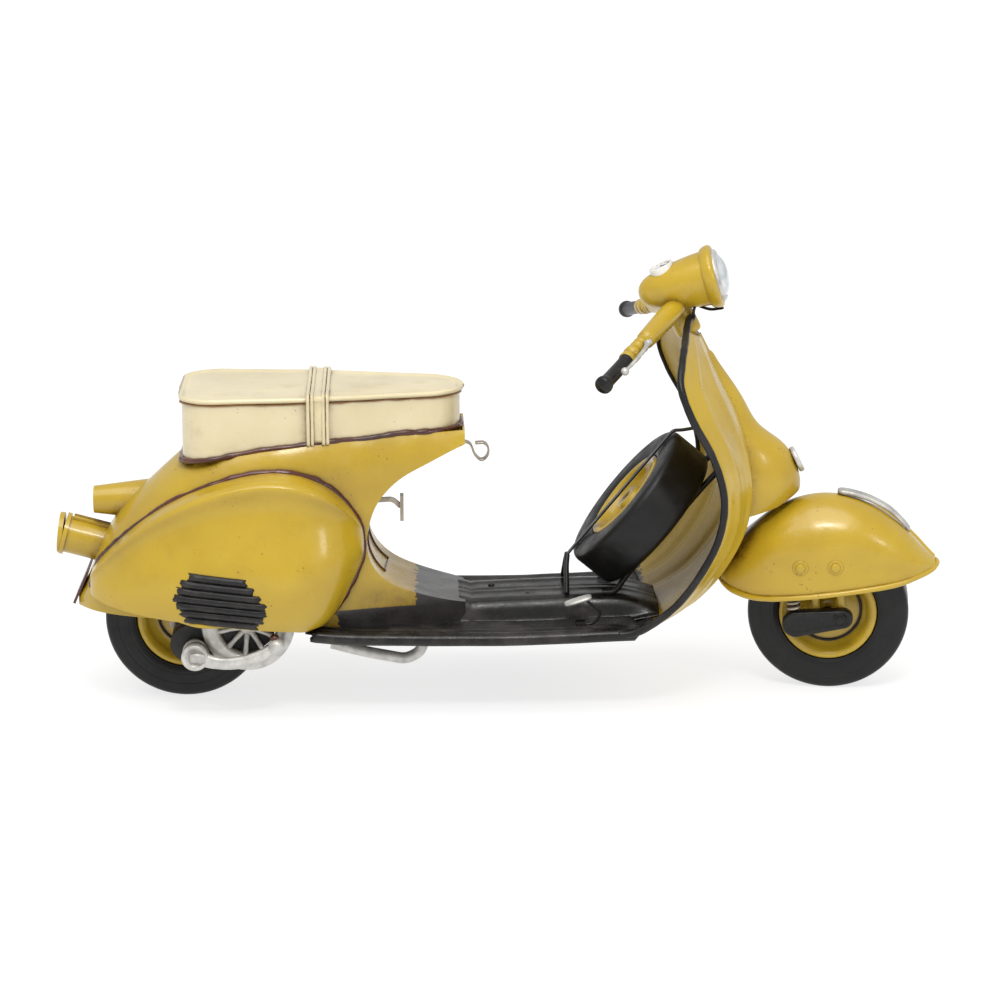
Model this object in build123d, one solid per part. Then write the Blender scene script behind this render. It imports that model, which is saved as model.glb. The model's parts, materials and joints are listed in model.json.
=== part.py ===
from build123d import *
import math
import os

# Tin model of a step-through motor scooter, in millimetres, +X forward, +Y to its left, +Z up.
# Stations run forward from the rear axle and heights from the ground; every piece is moved
# back by MIDDLE when it is written, which puts the origin on the ground at mid length.
WHEELBASE = 219.7
MIDDLE = 106.0
TIN = 0.7                 # sheet thickness of the formed shells
TYRE_R = 27.4
TYRE_HALF = 8.0
RIM_R = 16.8
AXLE_R = 1.5
RUNNING_FIT = 0.06        # radial clearance of a wheel or lever on its pin
RAKE = 27.0               # steering axis, degrees from vertical
STEER_AT_REST = -9.0      # the bars stand turned a little to the right

REAR_AXLE = (0.0, TYRE_R)
FRONT_AXLE = (WHEELBASE, TYRE_R + 0.32)   # the turned front wheel leans a little
STEER_DIR = Vector(-math.sin(math.radians(RAKE)), 0, math.cos(math.radians(RAKE)))
STEER_AXIS = Axis((WHEELBASE, 0, TYRE_R), STEER_DIR)

SEAT_TOP = 105.6
SEAT_LINE = [(-6, 84.0), (14.8, 87.1), (27.5, 89.3), (42, 90.8), (58, 91.9), (74, 92.8), (98, 93.4)]
FLOOR_LINE = [(41, 28.0), (60, 26.6), (107, 26.0), (130, 26.6), (150, 27.4)]
FLOOR_HALF = 37.0

PARTS = {}


def at_height(z):
    """Station of the steering axis at a height."""
    return WHEELBASE - (z - TYRE_R) * math.tan(math.radians(RAKE))


# ---------------------------------------------------------------- shape helpers

def bend_radii(points, closed=False):
    """Largest even bend at each corner: 0.45 of the shorter run over the tangent of half the turn."""
    vectors = [Vector(*p) for p in points]
    count = len(vectors)
    corners = range(count) if closed else range(1, count - 1)
    radii = []
    for i in corners:
        before = vectors[i] - vectors[i - 1]
        after = vectors[(i + 1) % count] - vectors[i]
        turn = math.radians(max(before.get_angle(after), 0.5))
        radii.append(0.45 * min(before.length, after.length) / math.tan(turn / 2))
    return radii


def wire_path(points, closed=False):
    """Straight runs joined by tangent arcs."""
    if len(points) == 2:
        return Line(*points)
    return FilletPolyline(*points, radius=bend_radii(points, closed), close=closed)


def rod(points, radius, closed=False):
    """Round wire bent along a list of points."""
    path = wire_path(points, closed)
    return sweep(Plane(path @ 0, z_dir=path % 0) * Circle(radius), path=path)


def strip(points, thickness, half_width, y=0.0):
    """Flat strip bent along (x, z) points, the given thickness, centred on y."""
    wire = wire_path([(x, z) for x, z in points])
    band = offset(wire, thickness / 2, kind=Kind.INTERSECTION, side=Side.BOTH)
    face = Plane.XZ * make_face(band)
    return Pos(0, y, 0) * extrude(face, half_width, both=True)


def disc(x, z, radius, y0, y1):
    """Round disc or pin across the scooter, from y0 to y1."""
    length = abs(y1 - y0)
    return Pos(x, (y0 + y1) / 2, z) * Rot(90, 0, 0) * Cylinder(radius, length)


def profile_block(points, y0, y1):
    """Straight-sided block whose (x, z) outline is a polygon, from y0 to y1."""
    face = Plane.XZ * make_face(Polyline(*points, close=True))
    return Pos(0, y1, 0) * extrude(face, y1 - y0)


def arch(plane, half, foot, shoulder, crown, fullness=0.7):
    """Closed section: straight sides from foot to shoulder and a rounded crown."""
    rise = crown - shoulder
    sides = Polyline((half, shoulder), (half, foot), (-half, foot), (-half, shoulder))
    top = Spline(
        (-half, shoulder), (-0.78 * half, shoulder + fullness * rise), (0, crown),
        (0.78 * half, shoulder + fullness * rise), (half, shoulder),
        tangents=[(0, 1), (0, -1)])
    return plane * make_face(sides + top)


def across(x):
    """Plane across the scooter at a station: local x to the left, local y up."""
    return Plane(origin=(x, 0, 0), x_dir=(0, 1, 0), z_dir=(1, 0, 0))


def mirrored(shape):
    return mirror(shape, Plane.XZ)


def turned(shape):
    """Front assembly piece, turned with the bars to where it stands at rest."""
    return shape.rotate(STEER_AXIS, STEER_AT_REST)


def keep(name, *solids):
    PARTS[name] = Compound(children=list(solids)) if len(solids) > 1 else solids[0]


# ---------------------------------------------------------------- rear body

# station, half width, shoulder height, crown height of the rear body
BODY_STATIONS = [
    (-36.0, 8.0, 34.5, 37.5),
    (-31.0, 15.0, 38.0, 46.8),
    (-24.0, 20.5, 46.0, 61.4),
    (-12.0, 25.5, 58.0, 74.6),
    (4.0, 28.5, 68.0, 88.5),
    (25.0, 29.5, 76.0, 99.0),
    (45.0, 27.0, 78.0, 101.0),
    (62.0, 22.5, 78.0, 101.5),
    (80.0, 18.6, 78.0, 101.5),
    (94.6, 15.4, 78.0, 101.5),
]
BODY_FOOT = 26.0
BODY_HOLLOW = [  # mouth of the concave front: nose underside, waist, and the sweep onto the floor
    (94.6, 89.0), (87.5, 86.0), (81.0, 82.8), (73.7, 79.0), (68.2, 74.4), (64.4, 69.0), (62.2, 62.0),
    (61.8, 54.5), (65.0, 47.0), (70.5, 42.2), (77.5, 39.2), (84.0, 37.2), (95.2, 34.6)]


def body_hull(grow=0.0):
    sections = []
    for x, half, shoulder, crown in BODY_STATIONS:
        reach = -grow if x < 0 else grow
        edge = x in (BODY_STATIONS[0][0], BODY_STATIONS[-1][0])
        sections.append(arch(across(x + reach if edge else x), half + grow, BODY_FOOT,
                             shoulder, crown + grow))
    return loft(sections)


def above_line(line, height):
    """Block of everything above an (x, z) line, up to a height."""
    outline = list(line) + [(line[-1][0], height), (line[0][0], height)]
    return profile_block(outline, -60, 60)


def front_hollow(grow=0.0):
    """Block that opens the concave front of the body."""
    mouth = Spline(*[(x - grow, z) for x, z in BODY_HOLLOW])
    ahead = Polyline(mouth @ 1, (130, BODY_HOLLOW[-1][1]), (130, BODY_HOLLOW[0][1]), mouth @ 0)
    return Pos(0, 60, 0) * extrude(Plane.XZ * make_face(mouth + ahead), 120)


def rear_body():
    hull = body_hull()
    inside = body_hull(-TIN)
    seat_space = above_line(SEAT_LINE, 120)
    floor_space = profile_block(list(FLOOR_LINE) + [(150, 10), (41, 10)], -60, 60)
    tail_space = Pos(-10, 0, 16) * Box(106, 120, 34)
    outside = hull - seat_space - front_hollow() - floor_space - tail_space
    shell = outside - inside
    front_panel = (inside & (front_hollow(TIN) - front_hollow())) - floor_space - seat_space
    keep("body_shell", shell)
    keep("body_front_panel", biggest(front_panel))
    return outside, inside


def biggest(shape):
    """The largest solid of a shape, without the slivers of a cut."""
    return max(shape.solids(), key=lambda solid: solid.volume)


# ---------------------------------------------------------------- side cowls

# station, lower edge, upper edge, bulge of the side cowl
COWL_STATIONS = [
    (-31.0, 34.0, 46.0, 19.0),
    (-27.0, 30.0, 52.0, 26.0),
    (-15.0, 28.0, 64.4, 35.5),
    (0.0, 27.0, 74.6, 41.5),
    (20.0, 26.0, 82.0, 45.0),
    (36.0, 26.0, 83.0, 46.0),
    (48.0, 31.0, 78.4, 43.0),
    (54.0, 39.5, 73.2, 38.5),
    (58.6, 48.5, 66.8, 32.0),
    (60.6, 55.0, 61.0, 27.0),
]
COWL_RIM = [(-36, 41.4), (-26, 38.6), (-10, 36.2), (20, 33.0), (40, 31.6), (47, 32.6), (56, 40.5)]


def cowl_block(grow=0.0):
    sections = []
    for x, low, high, bulge in COWL_STATIONS:
        plane = Plane(origin=(x, 0, (low + high) / 2), x_dir=(0, 0, 1), z_dir=(1, 0, 0))
        half = (high - low) / 2 + grow
        crown = bulge + grow
        shoulder = 12.0 + 0.45 * (crown - 12.0)
        sections.append(arch(plane, half, 10.0, shoulder, crown, 0.72))
    return loft(sections)


def cowl_rim_point(x, z):
    """A point of the lower cowl rim, on the outer skin."""
    for (x0, _, _, b0), (x1, _, _, b1) in zip(COWL_STATIONS, COWL_STATIONS[1:]):
        if x0 <= x <= x1:
            bulge = b0 + (b1 - b0) * (x - x0) / (x1 - x0)
            return (x, -(12 + 0.86 * (bulge - 12)), z)
    raise ValueError(x)


RIM_WIRE_R = 1.0
BEAD_HEIGHT = 1.8


def cowls(body_outside):
    below = profile_block(list(COWL_RIM) + [(56, 10), (-36, 10)], -60, 60)
    outer = cowl_block()
    shell = biggest(outer - cowl_block(-TIN) - body_outside - body_hull() - below)
    skin = body_hull(BEAD_HEIGHT + 0.1) - body_hull()
    bead = biggest(((cowl_block(BEAD_HEIGHT) - outer) & skin) - below)
    rim_points = [cowl_rim_point(x, z - 0.6) for x, z in COWL_RIM[1:-1]]
    rim = biggest(rod(rim_points, RIM_WIRE_R) - shell)
    keep("right_cowl", shell)
    keep("left_cowl", biggest(mirrored(shell) - body_outside))
    bead = biggest(bead - PARTS["body_shell"])
    keep("cowl_beads", bead, biggest(mirrored(bead) - PARTS["body_shell"]))
    keep("cowl_rims", rim, mirrored(rim))
    return outer


# rear and front end of each louvre, from the top row down
LOUVRE_ROWS = [(3.4, 22.6), (1.0, 24.6), (-0.4, 27.0), (-1.4, 28.4), (-0.8, 28.4), (0.4, 27.6),
               (1.8, 25.6)]
LOUVRE_TOP = 53.2
LOUVRE_PITCH = 2.45
LOUVRE_SLOPE = 0.087      # the rows fall a little towards the front


def louvre_grille(cowl_outer):
    """Pressed patch of seven lengthwise louvres with stepped ends, on the right cowl."""
    patch = None
    for row, (x0, x1) in enumerate(LOUVRE_ROWS):
        z = LOUVRE_TOP - LOUVRE_PITCH * row
        z0, z1 = z - LOUVRE_SLOPE * x0, z - LOUVRE_SLOPE * x1
        bar = profile_block([(x0, z0), (x1, z1), (x1, z1 - LOUVRE_PITCH), (x0, z0 - LOUVRE_PITCH)],
                            -60, -20)
        patch = bar if patch is None else patch + bar
    shell = (cowl_block(0.5) - cowl_outer) & patch
    return biggest(shell)


# ---------------------------------------------------------------- seat

def seat_outline(inset=0.0):
    """Plan of the seat: broad and square-cornered behind, narrow and round in front."""
    rounds = [(11.8, 13.6, 12.2), (42.0, 11.4, 12.2), (78.6, 0.0, 15.6)]
    circles = Sketch()
    for x, y, radius in rounds:
        circles += Pos(x, y) * Circle(radius - inset)
        circles += Pos(x, -y) * Circle(radius - inset)
    return make_hull(circles.edges())


STRAPS = [(43.2, 24.2), (48.4, 23.15)]     # station and half width of each strap over the lid
STRAP_R = 0.85
STRAP_FOOT = 92.6
LID_HEIGHT = 1.5


def seat():
    below = profile_block(list(SEAT_LINE) + [(98, 60), (-6, 60)], -60, 60)
    outer = Pos(0, 0, 80) * extrude(seat_outline(1.0), SEAT_TOP - 80)
    inner = Pos(0, 0, 80) * extrude(seat_outline(1.0 + TIN), SEAT_TOP - 80)
    raised = above_line([(x, z + TIN) for x, z in SEAT_LINE], 120)
    keep("seat_box", biggest(outer - below - (inner & raised)))
    lid = Pos(0, 0, SEAT_TOP) * extrude(seat_outline(), LID_HEIGHT)
    lid = fillet(lid.edges().group_by(Axis.Z)[-1], 0.6)
    keep("seat_lid", lid)
    straps = []
    for x, half in STRAPS:
        bend, over = SEAT_TOP - 1.4, SEAT_TOP + 2.5
        path = [(x, -half - 0.1, STRAP_FOOT), (x, -half - 0.9, bend), (x, -half + 0.6, over),
                (x, half - 0.6, over), (x, half + 0.9, bend), (x, half + 0.1, STRAP_FOOT)]
        straps.append(biggest(rod(path, STRAP_R) - lid - outer))
    keep("seat_straps", *straps)
    bead_out = Pos(0, 0, 70) * extrude(seat_outline(-0.8), 40)
    low = [(x, z - 0.9) for x, z in SEAT_LINE]
    high = [(x, z + 0.9) for x, z in SEAT_LINE]
    band = above_line(low, 120) - above_line(high, 120)
    return outer, bead_out & band


def seat_bead(blank, seat_outer, body_outside):
    keep("seat_bead", biggest(blank - seat_outer - body_outside))


# ---------------------------------------------------------------- floor and leg shield

def floor():
    top = [(x, z) for x, z in FLOOR_LINE]
    bottom = [(x, z - 0.9) for x, z in reversed(FLOOR_LINE)]
    board = profile_block(top + bottom, -FLOOR_HALF, FLOOR_HALF)
    for side in (-1, 1):
        for y, height in ((FLOOR_HALF - 0.6, 1.6), (FLOOR_HALF - 4.4, 0.8), (FLOOR_HALF - 8.0, 0.8)):
            rib = profile_block([(x, z + height) for x, z in FLOOR_LINE] + bottom, -0.6, 0.6)
            board += Pos(0, side * y, 0) * rib
    keep("floor_board", board)
    return board


TUNNEL_TOP = [(94.9, 34.4), (110, 34.9), (128, 35.6), (141, 35.6), (150, 35.6)]


def floor_tunnel(board):
    """Raised centre channel of the floor, open underneath."""
    def channel(shrink):
        sections = []
        for x, z in (TUNNEL_TOP[0], TUNNEL_TOP[2], TUNNEL_TOP[4]):
            top, foot = 13.6 - shrink, 16.4 - shrink
            outline = Polyline((-foot, 20), (-foot, 27), (-top, z - shrink), (top, z - shrink),
                               (foot, 27), (foot, 20), close=True)
            sections.append(across(x) * make_face(outline))
        return loft(sections, ruled=True)
    floor_space = profile_block(list(FLOOR_LINE) + [(150, 10), (41, 10)], -60, 60)
    tunnel = channel(0) - channel(TIN) - floor_space - board
    for x in (104.0, 116.0, 128.0):
        tunnel += Pos(x, 0, 35.5) * Cylinder(1.2, 1.2)
    keep("floor_tunnel", biggest(tunnel))


# centre line point (x, z) and edge point (x, y, z) of each cross rib of the leg shield
SHIELD = [
    ((173.4, 122.6), (168.4, 14.0, 126.0)),
    ((175.4, 118.2), (167.0, 24.0, 123.2)),
    ((177.2, 114.2), (165.6, 32.0, 119.5)),
    ((181.0, 107.0), (164.6, 39.6, 113.0)),
    ((185.6, 97.6), (168.2, 41.5, 102.8)),
    ((189.6, 86.0), (175.6, 41.5, 89.0)),
    ((191.4, 73.0), (179.2, 41.0, 75.6)),
    ((189.2, 58.8), (177.8, 40.5, 62.8)),
    ((182.0, 45.4), (172.4, 40.0, 51.0)),
    ((172.0, 35.2), (164.8, 39.4, 40.2)),
    ((159.6, 28.8), (156.4, 38.6, 33.0)),
    ((151.0, 26.4), (150.2, 37.6, 29.6)),
]


def shield_section(centre, edge, front, back):
    """Curved cross rib of the shield, between two offsets in front of its surface."""
    cx, cz = centre
    ex, ey, ez = edge
    length = math.hypot(cx - ex, cz - ez)
    ux, uz = (cx - ex) / length, (cz - ez) / length

    def arc(step):
        middle = (cx + ux * step, 0, cz + uz * step)
        return ThreePointArc((ex + ux * step, -ey, ez + uz * step), middle,
                             (ex + ux * step, ey, ez + uz * step))
    outer, inner = arc(front), arc(back)
    sides = [Line(outer @ 1, inner @ 1), Line(inner @ 0, outer @ 0)]
    return make_face([outer, inner] + sides)


def steering_slot(z_low, z_high, half_width):
    """Straight-sided slot along the steering axis."""
    reach = 6.0
    outline = [(at_height(z_low) - reach, z_low), (at_height(z_low) + reach, z_low),
               (at_height(z_high) + reach, z_high), (at_height(z_high) - reach, z_high)]
    return profile_block(outline, -half_width, half_width)


def leg_shield():
    panel = loft([shield_section(c, e, 0.0, -1.0) for c, e in SHIELD])
    panel -= steering_slot(62.0, 121.5, TUBE_R + 0.02)
    panel -= steering_slot(121.5, 134.0, COLLAR_R + 0.5)
    keep("leg_shield", biggest(panel - PARTS["floor_board"]))
    right = [(169.6, -6.2, 127.6)] + [(x - 0.5, -y - 1.25, z) for _, (x, y, z) in SHIELD[:-1]]
    bead = biggest(rod(right, 1.15) - PARTS["leg_shield"])
    keep("shield_trim", bead, biggest(mirrored(bead) - PARTS["leg_shield"]))


def shield_front_space():
    """Everything behind the front face of the shield."""
    return loft([shield_section(c, e, 0.0, -30.0) for c, e in SHIELD[:9]])


# height, crown station and half width of the horn cover on the shield front
HORN_COVER = [
    (118.0, 175.4, 2.6),
    (115.5, 179.4, 5.0),
    (108.3, 184.3, 6.6),
    (99.5, 189.9, 7.4),
    (91.5, 195.2, 8.4),
    (86.0, 202.4, 10.6),
    (79.0, 207.2, 12.4),
    (71.6, 209.0, 12.8),
    (65.8, 206.8, 12.0),
    (61.0, 202.6, 10.4),
]
HORN_COVER_FOOT = [(176, 58.8), (191.4, 62.3), (200.4, 65.0), (207.6, 69.2), (216, 74.4)]


def horn_cover_block(shrink=0.0):
    sections = []
    for z, crown, half in HORN_COVER:
        plane = Plane(origin=(0, 0, z), x_dir=(0, 1, 0), z_dir=(0, 0, -1))
        foot = at_height(z) - 22.0
        shoulder = crown - max(1.6 * half, 6.0)
        sections.append(arch(plane, half - shrink, foot, shoulder, crown - shrink, 0.68))
    return loft(sections)


def horn_cover(shield_space, head_tube_space):
    block = horn_cover_block()
    below = profile_block(HORN_COVER_FOOT + [(216, 40), (176, 40)], -30, 30)
    shell = block - horn_cover_block(TIN + 0.1) - shield_space - head_tube_space - below
    keep("horn_cover", biggest(shell))
    tilt = 27.0
    badge = Pos(207.6, 0, 79.6) * Rot(0, 90 - tilt, 0) * Cylinder(4.0, 1.6)
    keep("horn_badge", biggest(badge - block))


# ---------------------------------------------------------------- wheels

def tyre():
    profile = Pos((RIM_R + TYRE_R) / 2, 0) * RectangleRounded(TYRE_R - RIM_R, 2 * TYRE_HALF, 2.9)
    return revolve(profile, Axis.Y)


def rim(bore):
    """Dished tin wheel: a band that seats the tyre, a thin web and a hub."""
    outline = Polyline((bore, -6.4), (4.6, -6.4), (4.6, -2.6), (13.4, -3.4), (15.2, -6.9), (RIM_R, -7.2),
                       (RIM_R, 7.2), (15.2, 6.9), (13.4, 3.4), (4.6, 2.6), (4.6, 6.4), (bore, 6.4),
                       close=True)
    return revolve(make_face(outline), Axis.Y)


def wheel(name, place, bore):
    hoop = tyre()
    keep(f"{name}_tyre", place * hoop)
    keep(f"{name}_rim", place * (rim(bore) - hoop))


def rear_wheel():
    wheel("rear", Pos(REAR_AXLE[0], 0, REAR_AXLE[1]), AXLE_R + RUNNING_FIT)


def rear_saddle(inside):
    """Strip bent over the rear wheel inside the body; its legs carry the axle."""
    leg_y, top = 12.4, 60.0
    outline = [(-5, 23), (5, 23), (7, top), (-7, top)]
    legs = [profile_block(outline, y, y + 1.0) for y in (-leg_y - 1, leg_y)]
    bridge = Pos(0, 0, top + 0.5) * Box(14, 70, 1.0)
    axle = disc(*REAR_AXLE, AXLE_R, -leg_y - 2.4, leg_y + 2.4)
    nuts = [disc(*REAR_AXLE, 2.6, y, y + 1.2) for y in (-leg_y - 2.4, leg_y + 1.2)]
    saddle = (legs[0] + legs[1] + bridge) & inside
    keep("rear_axle", axle + nuts[0] + nuts[1])
    keep("axle_saddle", biggest(saddle - PARTS["rear_axle"]))


SPARE_CENTRE = (154.6, 0, 63.4)
SPARE_LEAN = 39.7         # the spare wheel leans forward, degrees from vertical


def spare_wheel():
    lean = Vector(math.sin(math.radians(SPARE_LEAN)), 0, math.cos(math.radians(SPARE_LEAN)))
    centre = SPARE_CENTRE
    place = Location(Plane(origin=centre, x_dir=lean, z_dir=(0, -1, 0)))
    wheel("spare", place, 0.0)
    back = Vector(lean.Z, 0, -lean.X)

    def on_wheel(along, out, y):
        """Point from the wheel's centre: along its lean, out of its front face, and across."""
        p = Vector(*centre) + lean * along - back * out
        return (p.X, y, p.Z)
    face = TYRE_HALF + 0.6
    strap_path = [(172.0, 90.6), (168.2, 90.0)]
    strap_path += [on_wheel(a, face, 0)[::2] for a in (27.4, -28.6)]
    strap = strip(strap_path, 0.6, 1.3)
    foot = on_wheel(-28.6, face, 0)
    legs = [rod([(foot[0], 0.8 * s, foot[2]), (foot[0] - 0.4, 3.0 * s, foot[2] - 3.0),
                 (129.0, 12.0 * s, 36.2)], 0.9) for s in (-1, 1)]
    strap = biggest(strap - PARTS["spare_tyre"] - PARTS["spare_rim"] - PARTS["leg_shield"])
    legs = [biggest(leg - strap - PARTS["spare_tyre"] - PARTS["floor_tunnel"]) for leg in legs]
    keep("spare_strap", strap, *legs)
    carrier = []
    for side in (-1, 1):
        y = 12.0 * side
        points = [(141.0, y, 36.6), (145.4, y, 36.6), on_wheel(-20.0, -TYRE_HALF - 1.2, y),
                  on_wheel(24.0, -TYRE_HALF - 1.2, y), (187.4, y, 86.0)]
        bar = rod(points, 1.0) - PARTS["spare_tyre"] - PARTS["leg_shield"] - PARTS["floor_tunnel"]
        carrier.append(biggest(bar))
    keep("spare_carrier", *carrier)


# ---------------------------------------------------------------- engine side and small gear

DRUM = (4.6, 22.8)
KICK_PIN_R = 1.5
FAN = (22.0, 32.0)


def engine():
    outline = make_hull((Pos(2.0, 25.0) * Circle(6.0) + Pos(*FAN) * Circle(8.6)).edges())
    case = Pos(0, -13.4, 0) * extrude(Plane.XZ * outline, 16.6)
    case -= disc(*REAR_AXLE, 3.0, -20, -13) + PARTS["body_shell"] + disc(*DRUM, 4.5, -40, -27)
    fan_back = disc(*FAN, 9.2, -31.0, -30.0)
    ring = disc(*FAN, 15.2, -34.4, -30.0) - disc(*FAN, 9.2, -40, -20)
    for index in range(10):
        ring += Pos(FAN[0], -32.7, FAN[1]) * Rot(0, 36.0 * index, 0) * Pos(6.2, 0, 0) * Box(6.8, 1.4, 1.0)
    ring += disc(*FAN, 3.2, -33.4, -31.0) + disc(*DRUM, 4.5, -35.5, -27.0)
    ring -= disc(*DRUM, KICK_PIN_R + RUNNING_FIT, -40, -20)
    case = biggest(case)
    keep("engine_case", case, fan_back)
    keep("fan_housing", biggest(ring - PARTS["body_shell"] - case))


def kick_lever():
    y = -37.6
    head = disc(*DRUM, 4.5, y - 1.8, y + 1.8)
    pin = disc(*DRUM, KICK_PIN_R, y + 1.8, -28.0)
    arm = rod([(DRUM[0] + 3.0, y, 22.4), (15.4, y, 21.6), (22.0, y, 22.8), (31.4, y - 0.6, 26.6)], 1.5)
    pedal = Pos(31.6, y - 1.4, 26.8) * Sphere(2.7)
    keep("kick_lever", head + pin + arm + pedal)


def centre_stand():
    """Folded U of tube under the floor, on a cross tube at its front end, with its two clips."""
    radius, y = 1.9, 20.0
    pivot = (80.4, 22.2)
    leg = [(pivot[0], -y, pivot[1]), (79.0, -y, 18.6), (74.4, -y, 16.2), (60.0, -y, 19.0), (49.4, -y, 22.0)]
    stand = disc(*pivot, radius, -y - 1.9, y + 1.9)
    for side in (1, -1):
        stand += rod([(x, side * yy, z) for x, yy, z in leg], radius)
    keep("centre_stand", stand)
    clips = []
    for side in (-1, 1):
        y0 = side * 12.0
        block = Pos(pivot[0], y0, pivot[1] + 0.8) * Box(6.6, 3.0, 7.4)
        block -= disc(*pivot, radius + RUNNING_FIT, -40, 40)
        clips.append(biggest(block - above_line([(x, z - 0.9) for x, z in FLOOR_LINE], 60)))
    return clips


PEDAL_PIVOT = (133.0, 28.6)


def brake_pedal():
    """Small pad on a bent wire that rocks on a pin across the floor."""
    y = -24.6
    wire = rod([(133.0, y, 28.6), (137.6, y, 29.6), (139.4, y, 33.6), (135.0, y, 37.4)], 0.6)
    pad = Pos(132.2, y, 36.8) * Rot(0, -17, 0) * Box(9.0, 5.0, 1.0)
    pin = disc(*PEDAL_PIVOT, 0.8, y - 2.6, y + 2.6)
    keep("brake_pedal", wire + pad + pin)
    lugs = []
    for offset_y in (-2.4, 2.4):
        lug = Pos(133.0, y + offset_y, 28.4) * Box(3.4, 1.0, 3.6)
        lug -= disc(*PEDAL_PIVOT, 0.8 + RUNNING_FIT, y - 6, y + 6)
        lugs.append(biggest(lug - PARTS["floor_board"]))
    return lugs


def seat_hook():
    points = [(93.6, 87.0), (96.4, 86.4), (97.4, 82.4), (99.8, 79.6), (102.4, 81.4), (101.8, 83.6)]
    keep("bag_hook", biggest(strip(points, 0.6, 1.5) - body_hull()))


def fuel_lever():
    arm = strip([(62.5, 66.4), (70.4, 66.8), (72.6, 64.6)], 1.4, 1.0)
    plate = Pos(73.4, 0, 64.0) * Box(1.2, 5.0, 8.6)
    keep("fuel_lever", biggest(arm - plate - body_hull_front()), plate)


def body_hull_front():
    """The body behind its concave front, to trim what stands on it."""
    return profile_block([(x, z) for x, z in BODY_HOLLOW] + [(40, 34.6), (40, 89)], -60, 60)


# ---------------------------------------------------------------- tail

def tail():
    hull = body_hull()
    cone_length = 18.6
    upper = Pos(-21.3, 0, 67.6) * Rot(0, 90, 0) * Cone(4.6, 6.9, cone_length)
    bore = Pos(-30.6, 0, 67.6) * Rot(0, 90, 0) * Cylinder(3.6, 1.6)
    keep("upper_lamp", biggest(upper - hull - bore))
    lift = 15.5
    place = Pos(-34.0, 0, 54.0) * Rot(0, -90 + lift, 0)
    body = place * Pos(0, 0, -1.5) * Cylinder(6.3, 17.0)
    collar = place * Pos(0, 0, 6.9) * (Cylinder(7.2, 1.4) - Cylinder(6.3, 4.0))
    cap = place * Pos(0, 0, 8.3) * Rot(0, -9, 0) * Cylinder(6.9, 1.6)
    ribs = []
    for angle in (-16, 16):
        rib = place * Rot(0, 0, angle) * Pos(6.8, 0, -1.0) * Box(1.0, 1.0, 13.0)
        ribs.append(rib)
    body = body - hull
    keep("tail_lamp_body", biggest(body))
    keep("tail_lamp_cap", biggest(cap - body - collar))
    keep("tail_lamp_trim", collar, *[biggest(rib - body - collar - hull - cap) for rib in ribs])
    plate = profile_block([(-33.2, 44.6), (-32.4, 44.2), (-37.2, 33.4), (-38.0, 33.8)], -9.0, 9.0)
    keep("number_plate", biggest(plate - hull - body))


# ---------------------------------------------------------------- steering assembly

STEM_R = 2.2
TUBE_R = 3.3
COLLAR_R = 3.9


def along_steering(z_low, z_high, radius):
    """Rod on the steering axis between two heights."""
    low = Vector(at_height(z_low), 0, z_low)
    high = Vector(at_height(z_high), 0, z_high)
    return Plane(origin=low, z_dir=high - low) * extrude(Circle(radius), (high - low).length)


def head_tube():
    tube = along_steering(68.5, 122.0, TUBE_R) - along_steering(60, 130, STEM_R + 0.08)
    keep("head_tube", tube)
    return along_steering(58.0, 128.0, TUBE_R + 0.02)


# station, foot height, half width, crown height of the front mudguard, straight ahead
FENDER_STATIONS = [
    (183.0, 38.0, 6.5, 41.5),
    (187.0, 36.4, 11.0, 48.6),
    (194.0, 35.4, 14.6, 57.4),
    (203.0, 35.9, 16.8, 64.2),
    (217.0, 37.8, 17.6, 68.4),
    (232.0, 40.0, 16.6, 65.6),
    (243.0, 41.6, 14.0, 58.6),
    (251.0, 43.2, 9.6, 50.6),
    (255.6, 44.4, 4.6, 46.4),
]


def fender_block(shrink=0.0):
    sections = []
    for index, (x, foot, half, crown) in enumerate(FENDER_STATIONS):
        if index == 0:
            x += shrink
        if index == len(FENDER_STATIONS) - 1:
            x -= shrink
        shoulder = foot + 0.30 * (crown - foot)
        base = foot - (2.0 if shrink else 0.0)
        sections.append(arch(across(x), half - shrink, base, shoulder, crown - shrink, 0.72))
    return loft(sections)


FENDER_BOLTS = [(210.0, 47.0), (221.8, 47.6)]
BOLT_R = 2.2


def fender():
    block = fender_block()
    shell = block - fender_block(TIN) - along_steering(50, 80, STEM_R)
    keep("front_fender", biggest(shell))
    right = [(x, -half - 0.5, foot - 0.1) for x, foot, half, _ in FENDER_STATIONS[1:]]
    left = [(x, -y, z) for x, y, z in reversed(right)]
    loop = [(182.2, 0, 38.4), (183.4, -6.6, 37.6)] + right[:-1] + [(257.0, 0, 44.9)] + left[1:] \
        + [(183.4, 6.6, 37.6)]
    bead = rod(loop, 0.85, closed=True)
    keep("fender_bead", biggest(bead - block))
    crest_line = [(222.4, 69.0), (227.6, 68.2), (232.6, 66.6), (239.0, 63.2), (246.0, 56.8)]
    crest = strip(crest_line, 1.8, 1.6)
    keep("fender_crest", biggest(crest - block))
    bolts = []
    for x, z in FENDER_BOLTS:
        bolts.append(biggest(disc(x, z, BOLT_R, -18.8, -16.0) - block))
    return block, bolts


LINK_Y = (-14.6, -11.4)


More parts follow.
